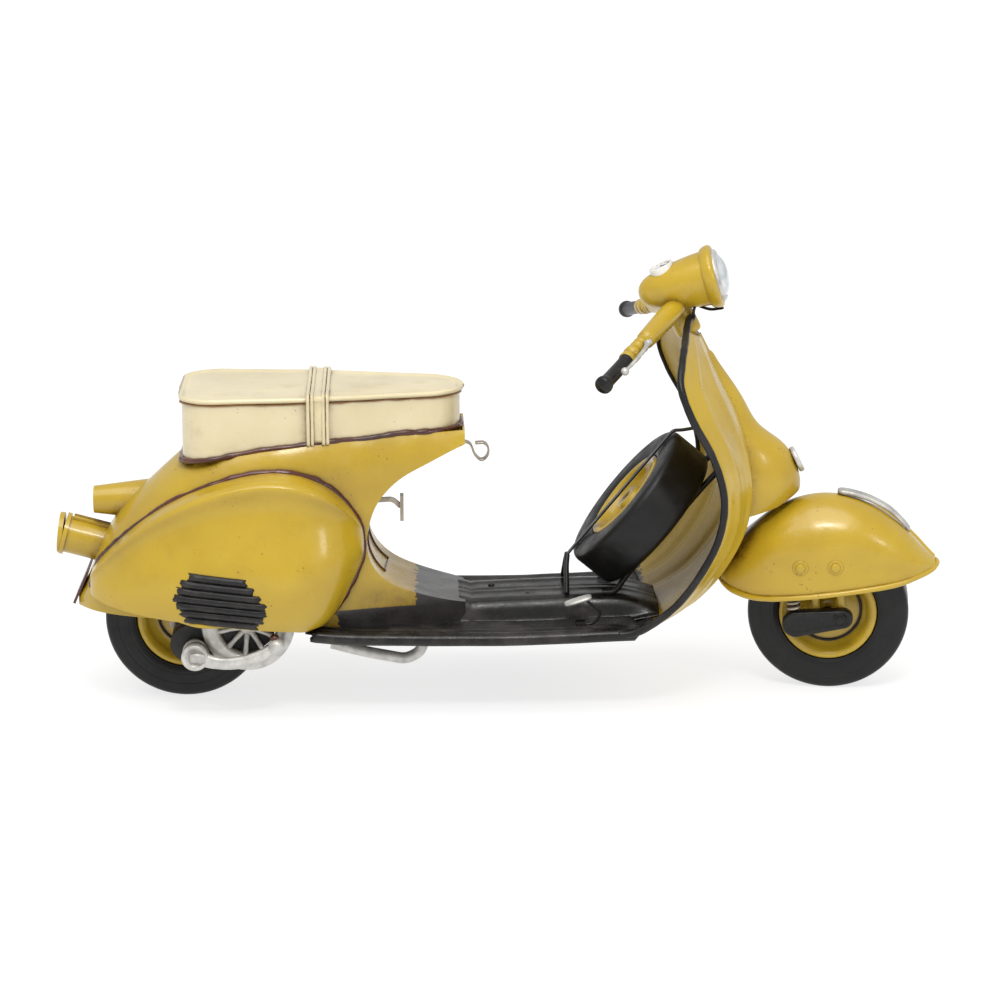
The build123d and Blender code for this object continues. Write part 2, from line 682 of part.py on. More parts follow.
def fork(fender_solid):
    """Two fork tubes, the trailing link, its bolt, and the spring on the link's rear end."""
    roof = fender_solid - fender_block(TIN)
    tube_y = -10.2
    tubes = []
    for x in (215.6, 224.2):
        tube = rod([(x - 3.0, tube_y, 58.0), (x, tube_y, 30.6)], 1.45)
        tubes.append(tube)
    brace = Pos(216.4, tube_y, 58.6) * Box(14.0, 3.0, 2.4)
    crown = Pos(209.0, -5.0, 60.4) * Box(9.0, 13.0, 2.4)
    rear, front = (208.9, 25.6), (224.8, 28.0)
    plate = make_hull((Pos(*rear) * Circle(4.6) + Pos(*front) * Circle(3.4)).edges())
    link = Pos(0, LINK_Y[1], 0) * extrude(Plane.XZ * plate, LINK_Y[1] - LINK_Y[0])
    bolt = disc(223.7, 28.2, 1.5, LINK_Y[0] - 1.0, LINK_Y[0])
    axle = disc(*FRONT_AXLE, AXLE_R, LINK_Y[1], TYRE_HALF + 1.4)
    axle += disc(*FRONT_AXLE, 2.8, TYRE_HALF + 0.2, TYRE_HALF + 1.4)
    spring_path = Pos(208.0, -13.0, 30.2) * Helix(pitch=1.9, height=11.4, radius=2.0)
    spring = sweep(Plane(spring_path @ 0, z_dir=spring_path % 0) * Circle(0.55), path=spring_path)
    clear_link = link - tubes[0] - tubes[1]
    keep("fork_tubes", biggest(tubes[0] + tubes[1] + brace + crown - link - roof
                               - along_steering(50, 75, STEM_R)))
    keep("link_arm", biggest(clear_link))
    keep("front_axle", axle)
    keep("coil_spring", biggest(spring - clear_link - roof))
    return bolt


def front_wheel():
    wheel("front", Pos(FRONT_AXLE[0], 0, FRONT_AXLE[1]), AXLE_R + RUNNING_FIT)


BAR_ROOT = Vector(166.0, -5.0, 133.4)
BAR_END = Vector(146.2, -57.2, 118.2)


def on_bar(share, forward=0.0, up=0.0):
    p = BAR_ROOT + (BAR_END - BAR_ROOT) * share
    return Vector(p.X + forward, p.Y, p.Z + up)


def bar_rod(start, end, r0, r1):
    """Tapered length of the right bar between two shares of its length."""
    low, high = on_bar(start), on_bar(end)
    axis = high - low
    return loft([Plane(origin=low, z_dir=axis) * Circle(r0), Plane(origin=high, z_dir=axis) * Circle(r1)])


def bars():
    stem = along_steering(60.4, 126.0, STEM_R)
    collar = along_steering(124.6, 134.5, COLLAR_R) - along_steering(120, 126.0, STEM_R)
    bar = bar_rod(0.0, 0.44, 3.0, 2.9) + bar_rod(0.44, 0.62, 2.3, 2.2) + bar_rod(0.62, 0.68, 2.7, 2.7)
    grip = bar_rod(0.68, 0.96, 2.25, 2.15) + bar_rod(0.96, 1.0, 2.6, 2.4)
    clamp = disc(BAR_ROOT.X, BAR_ROOT.Z, 3.0, BAR_ROOT.Y - 0.4, 0.4 - BAR_ROOT.Y)
    handlebar = collar + clamp + bar + left_bar(bar)
    keep("steering_stem", stem)
    keep("handlebar", biggest(handlebar))
    keep("handlebar_grips", grip, left_bar(grip))


LEVER_PIN = on_bar(0.53, 3.4, 2.0)
LEVER_END = on_bar(0.905, 4.65, 2.65)
LEVER_BOSS_R = 1.2
LEFT_DROOP = -4.0         # the left bar was bent a little lower than the right one
LEFT_ROOT = Axis((BAR_ROOT.X, -BAR_ROOT.Y, BAR_ROOT.Z), (1, 0, 0))


def left_bar(shape):
    """The same piece on the left bar."""
    return mirrored(shape).rotate(LEFT_ROOT, LEFT_DROOP)


def lever(side):
    """Brake lever: a flat disc on its pin and a thin blade with a ball end beside the grip."""
    pin = LEVER_PIN
    end = LEVER_END
    blade = rod([(pin.X, pin.Y, pin.Z), (end.X, end.Y, end.Z)], 0.75)
    boss_plane = Plane(origin=pin, x_dir=STEER_DIR.cross(BAR_END - BAR_ROOT), z_dir=STEER_DIR)
    boss = boss_plane * Cylinder(LEVER_BOSS_R, 1.3)
    ball = Pos(*end) * Sphere(1.25)
    shape = blade + boss + ball - boss_plane * Cylinder(0.5 + RUNNING_FIT, 4)
    perch = boss_plane * Cylinder(0.5, 3.3)
    for height in (-1.25, 1.25):
        perch += boss_plane * Pos(-2.4, 0, height) * Box(6.4, 2.4, 0.8)
    if side == "left":
        shape, perch = left_bar(shape), left_bar(perch)
    return shape, perch


LAMP_TILT = 16.0
LAMP_FRONT = (179.0, 0, 143.4)


def lamp_revolve(profile):
    """Turn a (behind the front, radius) outline about the lamp's axis."""
    shape = revolve(make_face(Polyline(*[(r, s) for s, r in profile], close=True)), Axis.Y)
    place = Location(Plane(origin=LAMP_FRONT, x_dir=(0, 1, 0), z_dir=(
        math.sin(math.radians(LAMP_TILT)), 0, -math.cos(math.radians(LAMP_TILT)))))
    return place * shape


def headlight(handlebar):
    shell = [(0.0, 0), (0.0, 9.2), (3.0, 9.2), (10.0, 8.6), (17.0, 7.2), (22.5, 5.6), (25.6, 3.0),
             (26.4, 0)]
    hollow = [(0.0, 0), (0.0, 8.4), (3.0, 8.4), (10.0, 7.8), (17.0, 6.3), (22.0, 4.6), (24.6, 2.0),
              (25.0, 0)]
    housing = lamp_revolve([(-s, r) for s, r in shell])
    space = lamp_revolve([(-s, r) for s, r in hollow])
    keep("headlight_housing", biggest(housing - space - handlebar))
    bezel = lamp_revolve([(-3.2, 9.2), (-3.2, 10.3), (-1.2, 10.7), (0.4, 10.0), (0.4, 8.4), (0.0, 8.4),
                          (0.0, 9.2)])
    keep("headlight_bezel", bezel)
    rim_ring = lamp_revolve([(0.4, 7.2), (0.4, 8.8), (1.6, 8.4), (2.0, 7.2)])
    keep("headlight_rim", rim_ring)
    lens = lamp_revolve([(0.2, 0), (0.2, 7.2), (2.0, 7.2), (3.4, 5.4), (4.2, 3.0), (4.5, 0)])
    keep("headlight_lens", lens)
    dial = Pos(160.6, 0, 146.4) * Rot(0, -26.0, 0) * Cylinder(4.2, 1.8)
    keep("speedometer_dial", biggest(dial - housing))
    return housing


def front_cable(housing):
    """Thin cable from under the lamp into the neck of the shield."""
    points = [(172.6, -3.0, 134.2), (172.2, -4.4, 132.4), (172.8, -5.2, 130.6)]
    keep("lamp_cable", biggest(rod(points, 0.5) - housing - PARTS["handlebar"]))


def front_assembly():
    block, bolts = fender()
    keep("front_bolts", *bolts, fork(block))
    bars()
    for side in ("right", "left"):
        shape, perch = lever(side)
        keep(f"{side}_brake_lever", shape)
        PARTS["handlebar"] = biggest(PARTS["handlebar"] + perch)
    housing = headlight(PARTS["handlebar"])
    front_cable(housing)
    front_wheel()
    names = ["front_fender", "fender_bead", "fender_crest", "front_bolts", "fork_tubes", "link_arm",
             "coil_spring", "front_axle", "front_tyre", "front_rim", "steering_stem",
             "handlebar", "handlebar_grips", "right_brake_lever", "left_brake_lever",
             "headlight_housing", "headlight_bezel", "headlight_rim", "headlight_lens",
             "speedometer_dial", "lamp_cable"]
    for name in names:
        PARTS[name] = turned(PARTS[name])


# ---------------------------------------------------------------- build and write

def build():
    outside, inside = rear_body()
    cowl_outer = cowls(outside)
    keep("louvre_grille", louvre_grille(cowl_outer))
    seat_outer, bead_blank = seat()
    seat_bead(bead_blank, seat_outer, outside)
    board = floor()
    floor_tunnel(board)
    tube_space = head_tube()
    leg_shield()
    horn_cover(shield_front_space(), tube_space)
    rear_wheel()
    rear_saddle(inside)
    spare_wheel()
    engine()
    kick_lever()
    keep("floor_lugs", *centre_stand(), *brake_pedal())
    seat_hook()
    fuel_lever()
    tail()
    front_assembly()


build()
os.makedirs("parts", exist_ok=True)
for node, shape in PARTS.items():
    export_step(Pos(-MIDDLE, 0, 0) * shape, f"parts/{node}.step")
print(len(PARTS), "nodes")
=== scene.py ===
import json
from math import asin, atan2, cos, exp, hypot, pi, radians, sin, sqrt, tan

import bpy
import numpy as np
from mathutils import Matrix, Vector, noise
from mathutils.bvhtree import BVHTree


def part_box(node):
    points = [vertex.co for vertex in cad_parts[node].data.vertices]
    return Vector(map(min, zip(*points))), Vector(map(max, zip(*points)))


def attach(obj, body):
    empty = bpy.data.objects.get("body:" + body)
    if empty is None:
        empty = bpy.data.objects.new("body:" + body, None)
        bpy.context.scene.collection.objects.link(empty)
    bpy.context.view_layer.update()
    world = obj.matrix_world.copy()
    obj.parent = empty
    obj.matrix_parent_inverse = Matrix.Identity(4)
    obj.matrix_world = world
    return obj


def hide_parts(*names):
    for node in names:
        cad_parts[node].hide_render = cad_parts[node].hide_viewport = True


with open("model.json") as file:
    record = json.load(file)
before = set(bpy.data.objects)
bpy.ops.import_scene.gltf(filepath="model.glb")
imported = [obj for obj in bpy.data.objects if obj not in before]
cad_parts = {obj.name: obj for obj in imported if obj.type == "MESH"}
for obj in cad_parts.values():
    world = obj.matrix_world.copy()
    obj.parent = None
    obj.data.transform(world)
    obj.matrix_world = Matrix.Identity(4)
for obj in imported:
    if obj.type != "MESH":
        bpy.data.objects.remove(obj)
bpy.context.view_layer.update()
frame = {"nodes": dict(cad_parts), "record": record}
NODES = frame["nodes"]

# Tin model of a step-through scooter. Places are in millimetres: stations run forward from the
# rear axle, heights up from the ground, and MIDDLE is the station of the frame's origin.
MM = 0.001
MIDDLE = 106.0
TIN = 0.7
UP, LEFT, RIGHT = Vector((0, 0, 1)), Vector((0, 1, 0)), Vector((0, -1, 0))


def at(x, y, z):
    """Point of the frame, in metres, from a station, an offset to the left and a height in mm."""
    return Vector(((x - MIDDLE) * MM, y * MM, z * MM))


# ---------------- materials

def srgb(red, green, blue):
    """Linear colour from 0-255 display values."""
    def channel(value):
        value /= 255.0
        return value / 12.92 if value <= 0.04045 else ((value + 0.055) / 1.055) ** 2.4
    return (channel(red), channel(green), channel(blue), 1.0)


class Finish:
    """A node material with short helpers for its nodes."""

    def __init__(self, name):
        self.material = bpy.data.materials.new(name)
        self.material.use_nodes = True
        self.tree = self.material.node_tree
        self.shader = self.tree.nodes["Principled BSDF"]
        self.place = self.node("ShaderNodeTexCoord").outputs["Object"]

    def node(self, kind, settings=None, **values):
        made = self.tree.nodes.new(kind)
        for key, value in (settings or {}).items():
            setattr(made, key, value)
        for key, value in values.items():
            self.feed(made.inputs[key.replace("_", " ")], value)
        return made

    def feed(self, socket, value):
        if isinstance(value, bpy.types.NodeSocket):
            self.tree.links.new(value, socket)
        else:
            socket.default_value = value

    def cloud(self, scale, detail=3.0, rough=0.55):
        """Noise of a scale, in features per metre."""
        made = self.node("ShaderNodeTexNoise", Vector=self.place, Scale=scale, Detail=detail,
                         Roughness=rough)
        return made.outputs["Fac"]

    def ramp(self, value, low, high, start=0.0, end=1.0):
        made = self.node("ShaderNodeMapRange", {"clamp": True}, Value=value)
        for key, number in (("From Min", low), ("From Max", high), ("To Min", start), ("To Max", end)):
            made.inputs[key].default_value = number
        return made.outputs["Result"]

    def math(self, operation, a, b):
        made = self.node("ShaderNodeMath", {"operation": operation, "use_clamp": True})
        self.feed(made.inputs[0], a)
        self.feed(made.inputs[1], b)
        return made.outputs[0]

    def times(self, a, b):
        return self.math("MULTIPLY", a, b)

    def mix(self, share, first, second):
        made = self.node("ShaderNodeMix", {"data_type": "RGBA"})
        self.feed(made.inputs[0], share)
        self.feed(made.inputs[6], first)
        self.feed(made.inputs[7], second)
        return made.outputs[2]

    def occlusion_shade(self, reach, low, high):
        """Painted shade mask from ambient occlusion: 1 in inner corners and under edges within a reach in
        metres, 0 in the open.
        """
        made = self.node("ShaderNodeAmbientOcclusion", {"samples": 8}, Distance=reach)
        return self.ramp(made.outputs["AO"], low, high, 1.0, 0.0)

    def speckle(self, scale, size):
        """Sparse small dots: 1 inside a dot."""
        cells = self.node("ShaderNodeTexVoronoi", Vector=self.place, Scale=scale)
        near = self.ramp(cells.outputs["Distance"], size * 0.6, size, 1.0, 0.0)
        chance = self.ramp(self.cloud(scale * 0.23, 2.0), 0.60, 0.66)
        return self.times(near, chance)

    def bump(self, height, strength, distance):
        made = self.node("ShaderNodeBump", Height=height, Strength=strength, Distance=distance)
        self.feed(self.shader.inputs["Normal"], made.outputs["Normal"])

    def set(self, **values):
        for key, value in values.items():
            self.shader.inputs[key.replace("_", " ")].default_value = value

    def finish(self, colour, rough):
        self.feed(self.shader.inputs["Base Color"], colour)
        self.feed(self.shader.inputs["Roughness"], rough)
        return self.material


WASH_AND_SHADE = srgb(84, 44, 16)      # the brown antique wash, also used as painted shade in corners
OLIVE = srgb(150, 118, 44)


def beyond(f, station, upper_only, below):
    """1 past a ragged line across the scooter: ahead of a station and below a height, or behind
    the station where no height is given, and on upward faces only if asked."""
    axes = f.node("ShaderNodeSeparateXYZ", Vector=f.place)
    jag = f.ramp(f.cloud(420, 3.0), 0.3, 0.7, -0.0012, 0.0012)
    made = f.node("ShaderNodeMath", {"operation": "ADD"})
    f.feed(made.inputs[0], axes.outputs["X"])
    f.feed(made.inputs[1], jag)
    edge = (station - MIDDLE) * MM
    share = f.ramp(made.outputs[0], edge - 0.00015, edge + 0.00015)
    if below is None:
        share = f.ramp(share, 0.0, 1.0, 1.0, 0.0)
    else:
        low = f.ramp(axes.outputs["Z"], below * MM, (below + 0.4) * MM, 1.0, 0.0)
        share = f.times(share, low)
    if upper_only:
        normal = f.node("ShaderNodeNewGeometry").outputs["True Normal"]
        facing_up = f.node("ShaderNodeSeparateXYZ", Vector=normal)
        share = f.times(share, f.ramp(facing_up.outputs["Z"], 0.0, 0.05))
    return share


def brown_towards_floor(f, station, low, high):
    """Brown patches low on the body, ahead of a station, darker towards the floor and fading out between two
    heights.
    """
    fade_in = 12.0
    axes = f.node("ShaderNodeSeparateXYZ", Vector=f.place)
    height = f.ramp(axes.outputs["Z"], low * MM, high * MM, 1.0, 0.0)
    front = f.ramp(axes.outputs["X"], (station - MIDDLE - fade_in) * MM, (station - MIDDLE) * MM)
    patches = f.ramp(f.cloud(110, 5.0, 0.7), 0.30, 0.62, 0.25, 0.9)
    return f.times(f.times(height, front), patches)


def aged_paint(name, paint, shade, gloss=0.30, wash=0.95, speck=0.6, black=(), brown_low=None):
    """Hand-sprayed enamel: cloudy tone, brown wash with painted shade in the corners, dark specks and a soft
    orange peel.

    black lists where it is painted over in black, as for beyond(); the last argument gives a station and two
    heights for brown patches low on the body."""
    f = Finish(name)
    tone = f.mix(f.ramp(f.cloud(34, 4.0), 0.42, 0.72), paint, shade)
    haze = f.ramp(f.cloud(95, 5.0, 0.65), 0.55, 0.80, 0.0, 0.28)
    tone = f.mix(haze, tone, OLIVE if wash > 0.5 else WASH_AND_SHADE)
    # brown wash and painted shade together, where ambient occlusion finds inner corners and undersides
    patchy = f.ramp(f.cloud(260, 4.0, 0.7), 0.30, 0.62)
    corner = f.times(f.occlusion_shade(0.0065, 0.30, 0.86), patchy)
    tone = f.mix(f.times(corner, wash), tone, WASH_AND_SHADE)
    dots = f.times(f.speckle(620, 0.22), speck)
    tone = f.mix(dots, tone, WASH_AND_SHADE)
    # brown patches low on the body, darker towards the floor
    if brown_low:
        tone = f.mix(brown_towards_floor(f, *brown_low), tone, WASH_AND_SHADE)
    for edge in black:
        coat = f.mix(f.cloud(150, 4.0), srgb(20, 18, 18), srgb(52, 48, 46))
        tone = f.mix(beyond(f, *edge), tone, coat)
    rough = f.ramp(f.cloud(150, 3.0), 0.3, 0.7, gloss - 0.06, gloss + 0.10)
    grain = f.times(f.cloud(700, 2.0), 0.03)
    peel = f.times(f.cloud(130, 2.0), 0.10)
    f.bump(f.math("ADD", f.math("ADD", grain, peel), f.cloud(46, 1.0)), 0.6, 0.003)
    f.set(Specular_IOR_Level=0.45, Coat_Weight=0.40, Coat_Roughness=0.16)
    return f.finish(tone, rough)


def black_paint(name, dark, rubbed_and_sheen, gloss=0.34, rub_and_sheen=0.6, dust=0.12):
    """Black enamel, greyed with wear where hands and feet go; the grey patches also stand in for a painted
    sheen.
    """
    f = Finish(name)
    # grey patches at random: wear, and painted sheen on the black
    worn_and_sheen = f.times(f.ramp(f.cloud(60, 5.0, 0.7), 0.46, 0.74), rub_and_sheen)
    tone = f.mix(worn_and_sheen, dark, rubbed_and_sheen)
    tone = f.mix(f.times(f.ramp(f.cloud(900, 3.0), 0.60, 0.75), dust), tone, srgb(110, 100, 90))
    f.set(Specular_IOR_Level=0.35)
    rough = f.ramp(f.cloud(180, 4.0), 0.3, 0.7, gloss - 0.06, gloss + 0.16)
    f.bump(f.cloud(420, 4.0, 0.6), 0.16, 0.0005)
    return f.finish(tone, rough)


def silver_paint(name, base=(204, 202, 196), metal=0.35, gloss=0.34, wash=0.85):
    """Silver paint over tin, with brown wash and painted shade in its corners."""
    f = Finish(name)
    tone = f.mix(f.ramp(f.cloud(210, 4.0), 0.4, 0.7), srgb(*base), srgb(*[c * 0.80 for c in base]))
    # brown wash and painted shade where ambient occlusion finds corners
    corner = f.times(f.occlusion_shade(0.0035, 0.30, 0.85), f.ramp(f.cloud(520, 3.0), 0.30, 0.60))
    tone = f.mix(f.times(corner, wash), tone, WASH_AND_SHADE)
    rough = f.ramp(f.cloud(380, 3.0), 0.3, 0.7, gloss - 0.05, gloss + 0.12)
    f.bump(f.cloud(900, 3.0), 0.12, 0.0003)
    f.set(Metallic=metal)
    return f.finish(tone, rough)


def lens_plastic(name):
    """Clear moulded lens, slightly milky, with faint flutes."""
    f = Finish(name)
    tone = f.mix(f.ramp(f.cloud(300, 2.0), 0.4, 0.6), srgb(214, 218, 220), srgb(190, 196, 200))
    f.set(Coat_Weight=0.6, Metallic=0.35)
    f.bump(f.cloud(500, 2.0), 0.08, 0.0003)
    return f.finish(tone, f.ramp(f.cloud(200, 2.0), 0.3, 0.7, 0.10, 0.18))


MUSTARD, MUSTARD_SHADE = srgb(184, 153, 33), srgb(170, 139, 29)
YELLOW = aged_paint("yellow_enamel", MUSTARD, MUSTARD_SHADE)
BODY_PAINT = aged_paint("yellow_body_enamel", MUSTARD, MUSTARD_SHADE,
                        black=((78.0, False, 50.0), (52.0, False, 34.5)), brown_low=(66.0, 34.5, 45.0))
SHIELD_PAINT = aged_paint("yellow_shield_enamel", MUSTARD, MUSTARD_SHADE, black=((157.5, True, None),))
CREAM = aged_paint("cream_enamel", srgb(220, 207, 170), srgb(210, 195, 154), gloss=0.38, wash=0.9, speck=0.45)
BLACK = black_paint("black_enamel", srgb(17, 16, 16), srgb(52, 49, 47))
FLOOR = black_paint("floor_black", srgb(20, 18, 17), srgb(78, 73, 70), gloss=0.28, rub_and_sheen=0.6)
LOUVRE = black_paint("louvre_black", srgb(26, 24, 24), srgb(72, 68, 66), gloss=0.34, rub_and_sheen=0.65)
GRIP = black_paint("grip_black", srgb(17, 16, 16), srgb(56, 52, 50), gloss=0.30, rub_and_sheen=0.5)
BROWN = aged_paint("brown_cord_paint", srgb(84, 34, 19), srgb(48, 20, 12), gloss=0.26, wash=0.6, speck=0.3)
RIM_LINE_BROWN = aged_paint("brown_rim_line", srgb(150, 106, 54), srgb(104, 66, 34), gloss=0.5, wash=0.8, speck=0.3)
SILVER = silver_paint("silver_paint")
STEEL = silver_paint("bare_steel", (176, 166, 150), 0.7, 0.30, 0.9)
TYRE = black_paint("tyre_black", srgb(13, 12, 12), srgb(27, 26, 25), gloss=0.38, rub_and_sheen=0.5, dust=0.0)
LENS = lens_plastic("lamp_lens")
DIAL = aged_paint("dial_white", srgb(222, 220, 212), srgb(206, 202, 190), wash=0.5, speck=0.2)
BLUE = aged_paint("dial_print", srgb(70, 84, 140), srgb(50, 60, 110), wash=0.2, speck=0.2)

SLOT_FINISH = {"yellow_paint": YELLOW, "cream_paint": CREAM, "black_paint": BLACK, "brown_paint": BROWN,
               "silver_paint": SILVER, "bare_steel": STEEL, "tyre": TYRE, "lens": LENS, "dial_white": DIAL}
NODE_FINISH = {"body_shell": BODY_PAINT, "body_front_panel": BODY_PAINT, "head_tube": YELLOW,
               "steering_stem": YELLOW}


def dress_cad_nodes():
    """Every CAD node gets the finish of its material slot."""
    for part in frame["record"]["subparts"]:
        finish = NODE_FINISH.get(part["node"], SLOT_FINISH[part["material_slot"]])
        node = NODES[part["node"]]
        for slot in node.material_slots:
            slot.material = finish
        if not node.material_slots:
            node.data.materials.append(finish)


# ---------------- shape helpers

RAKE = radians(27.0)
WHEELBASE, TYRE_R = 219.7, 27.4
STEER_DIR = Vector((-sin(RAKE), 0, cos(RAKE)))
STEER_FOOT = at(WHEELBASE, 0, TYRE_R)
STEER_TURN = (Matrix.Translation(STEER_FOOT) @ Matrix.Rotation(radians(-9.0), 4, STEER_DIR)
              @ Matrix.Translation(-STEER_FOOT))


def through(points, steps=8, closed=False):
    """Smooth curve through points: Catmull-Rom spans, steps to a span."""
    pts = [Vector(p) for p in points]
    if closed:
        pts = [pts[-1]] + pts + [pts[0], pts[1]]
    else:
        pts = [2 * pts[0] - pts[1]] + pts + [2 * pts[-1] - pts[-2]]
    curve = []
    for i in range(1, len(pts) - 2):
        a, b, c, d = pts[i - 1:i + 3]
        for step in range(steps):
            t = step / steps
            curve.append(0.5 * ((2 * b) + (c - a) * t + (2 * a - 5 * b + 4 * c - d) * t * t
                                + (3 * b - a - 3 * c + d) * t ** 3))
    if not closed:
        curve.append(pts[-2].copy())
    return curve


def add(name, data):
    """Object of the scene from a mesh, a light or a camera."""
    made = bpy.data.objects.new(name, data)
    bpy.context.scene.collection.objects.link(made)
    return made


def make(name, verts, faces, finish):
    mesh = bpy.data.meshes.new(name)
    mesh.from_pydata([tuple(v) for v in verts], [], faces)
    mesh.validate()
    mesh.shade_smooth()
    mesh.materials.append(finish)
    return add(name, mesh)


def lattice(rows, columns, first=0, wrap_rows=False, wrap_columns=False):
    """Quads of a grid of points listed row by row."""
    faces = []
    for r in range(rows if wrap_rows else rows - 1):
        for c in range(columns if wrap_columns else columns - 1):
            r1, c1 = (r + 1) % rows, (c + 1) % columns
            faces.append([first + r * columns + c, first + r * columns + c1,
                          first + r1 * columns + c1, first + r1 * columns + c])
    return faces


def sheet(name, rows, finish, thickness=TIN, outward=-1.0):
    """Tin sheet through a grid of points, with a real thickness."""
    made = make(name, [p for row in rows for p in row], lattice(len(rows), len(rows[0])), finish)
    solid = made.modifiers.new("tin", "SOLIDIFY")
    solid.thickness = thickness * MM
    solid.offset = outward
    return made


def tube_rings(path, radii, sides, flat, up, closed):
    """Rings of points round a path; flat squeezes each ring along the up direction."""
    rings = []
    count = len(path)
    side = None
    for i, place in enumerate(path):
        before = path[i - 1] if i or closed else path[0]
        after = path[(i + 1) % count] if i < count - 1 or closed else path[-1]
        along = (after - before).normalized()
        if up is not None:
            side = along.cross(up).normalized()
        elif side is None:
            side = along.orthogonal().normalized()
        else:
            side = (side - along * side.dot(along)).normalized()
        rise = side.cross(along)
        ring = []
        for k in range(sides):
            angle = 2 * pi * k / sides
            ring.append(place + radii[i] * (side * cos(angle) + rise * sin(angle) * flat))
        rings.append(ring)
    return rings


def rod(name, path, radius, finish, sides=12, closed=False, flat=1.0, up=None, ripple=0.0):
    """Bent wire along a path in metres; radius in mm, one number or one for each point."""
    given = [radius] * len(path) if isinstance(radius, (int, float)) else radius
    radii = [float(r) * MM for r in given]
    if ripple:
        radii = [r * (1 + ripple * noise.noise(p * 310.0)) for r, p in zip(radii, path)]
    if not closed:
        head, tail = path[0] - path[1], path[-1] - path[-2]
        path = [path[0] + head.normalized() * radii[0] * 0.5] + list(path) \
            + [path[-1] + tail.normalized() * radii[-1] * 0.5]
        radii = [radii[0] * 0.6] + radii + [radii[-1] * 0.6]
    rings = tube_rings(path, radii, sides, flat, up, closed)
    verts = [p for ring in rings for p in ring]
    faces = lattice(len(rings), sides, wrap_rows=closed, wrap_columns=True)
    if not closed:
        last = (len(rings) - 1) * sides
        faces += [list(range(sides))[::-1], [last + k for k in range(sides)]]
    return make(name, verts, faces, finish)


def spun(radius, angle, along):
    """Local point, in metres, at a radius in mm and an angle about z."""
    return Vector((radius * cos(angle), radius * sin(angle), along)) * MM


def lathe(name, profile, place, finish, steps=72, closed_profile=True):
    """Turned piece: (along, radius) points in mm about the local z of a placing matrix."""
    angles = [2 * pi * k / steps for k in range(steps)]
    verts = [place @ spun(radius, angle, along) for angle in angles for along, radius in profile]
    faces = lattice(steps, len(profile), wrap_rows=True, wrap_columns=closed_profile)
    return make(name, verts, faces, finish)


def rounded(outline, steps=5):
    """Profile of (along, radius) points smoothed into a closed curve."""
    return [(p.x, p.y) for p in through([(a, r, 0) for a, r in outline], steps, closed=True)]


def domed(outline, steps=6):
    """Profile of (along, radius) points smoothed into a curve that ends on the axis."""
    return [(p.x, max(p.y, 0.01)) for p in through([(a, r, 0) for a, r in outline], steps)]


def ball(radius, steps):
    """Profile of a ball."""
    return [(radius * cos(a), max(radius * sin(a), 0.01)) for a in np.linspace(pi, 0, steps)]


def tapered(path, shares, radii):
    """Radius at each point of a path, from radii at shares of its length."""
    return list(np.interp(np.linspace(0, 1, len(path)), shares, radii))


def both_ways(half):
    """Cross section from its left half, the first point of which is on the middle."""
    return [(-y, z) for y, z in half[:0:-1]] + half


def facing(place, direction):
    """Matrix that puts the local origin at a place, with local z along a direction."""
    return Matrix.Translation(place) @ direction.to_track_quat("Z", "Y").to_matrix().to_4x4()


def fit(piece, slot, *nodes, body="chassis"):
    """The piece rides on a body and stands for CAD nodes, which it hides; the slot is not used."""
    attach(piece, body)
    if nodes:
        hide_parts(*nodes)
    return piece


def fit_steering(piece, slot, *nodes, body="steering"):
    """Fits a piece that was made straight ahead: it is turned with the bars first."""
    piece.data.transform(STEER_TURN)
    return fit(piece, slot, *nodes, body=body)


def join(name, *parts):
    """One piece from several made parts."""
    verts, faces, mats, finishes = [], [], [], []
    for part in parts:
        first = len(verts)
        finish = part.data.materials[0]
        if finish not in finishes:
            finishes.append(finish)
        verts += [v.co.copy() for v in part.data.vertices]
        for face in part.data.polygons:
            faces.append([first + v for v in face.vertices])
            mats.append(finishes.index(finish))
        bpy.data.objects.remove(part)
    made = make(name, verts, faces, finishes[0])
    for finish in finishes[1:]:
        made.data.materials.append(finish)
    made.data.polygons.foreach_set("material_index", mats)
    return made


def mirrored(piece):
    """Copy of a piece on the other side of the scooter."""
    verts = [v.co * Vector((1, -1, 1)) for v in piece.data.vertices]
    faces = [list(f.vertices)[::-1] for f in piece.data.polygons]
    return make(piece.name + "_left", verts, faces, piece.data.materials[0])


def skin(*nodes):
    """Search tree over the outside of CAD nodes."""
    verts, faces = [], []
    for name in nodes:
        mesh = NODES[name].data
        first = len(verts)
        verts += [v.co.copy() for v in mesh.vertices]
        faces += [[first + v for v in f.vertices] for f in mesh.polygons]
    return BVHTree.FromPolygons(verts, faces)


def right_side(tree, x, z, lift=0.0, miss=-30.0):
    """Point on the right-hand outside of a skin at a station and a height, lifted off it."""
    hit = tree.ray_cast(at(x, -90, z), LEFT)[0]
    y = hit.y / MM if hit else miss
    return at(x, y - lift, z)


# ---------------- leg shield

# centre (x, z) and edge (x, y, z) of each cross rib of the leg shield
SHIELD = [
    ((173.4, 122.6), (168.4, 14.0, 126.0)), ((175.4, 118.2), (167.0, 24.0, 123.2)),
    ((177.2, 114.2), (165.6, 32.0, 119.5)), ((181.0, 107.0), (164.6, 39.6, 113.0)),
    ((185.6, 97.6), (168.2, 41.5, 102.8)), ((189.6, 86.0), (175.6, 41.5, 89.0)),
    ((191.4, 73.0), (179.2, 41.0, 75.6)), ((189.2, 58.8), (177.8, 40.5, 62.8)),
    ((182.0, 45.4), (172.4, 40.0, 51.0)), ((172.0, 35.2), (164.8, 39.4, 40.2)),
    ((159.6, 28.8), (156.4, 38.6, 33.0)), ((151.0, 26.4), (150.2, 37.6, 29.6))]
# the long pressed ridges: share of the half width, height, width
RIDGES = ((0.50, 1.1, 0.055), (0.80, 0.8, 0.045))


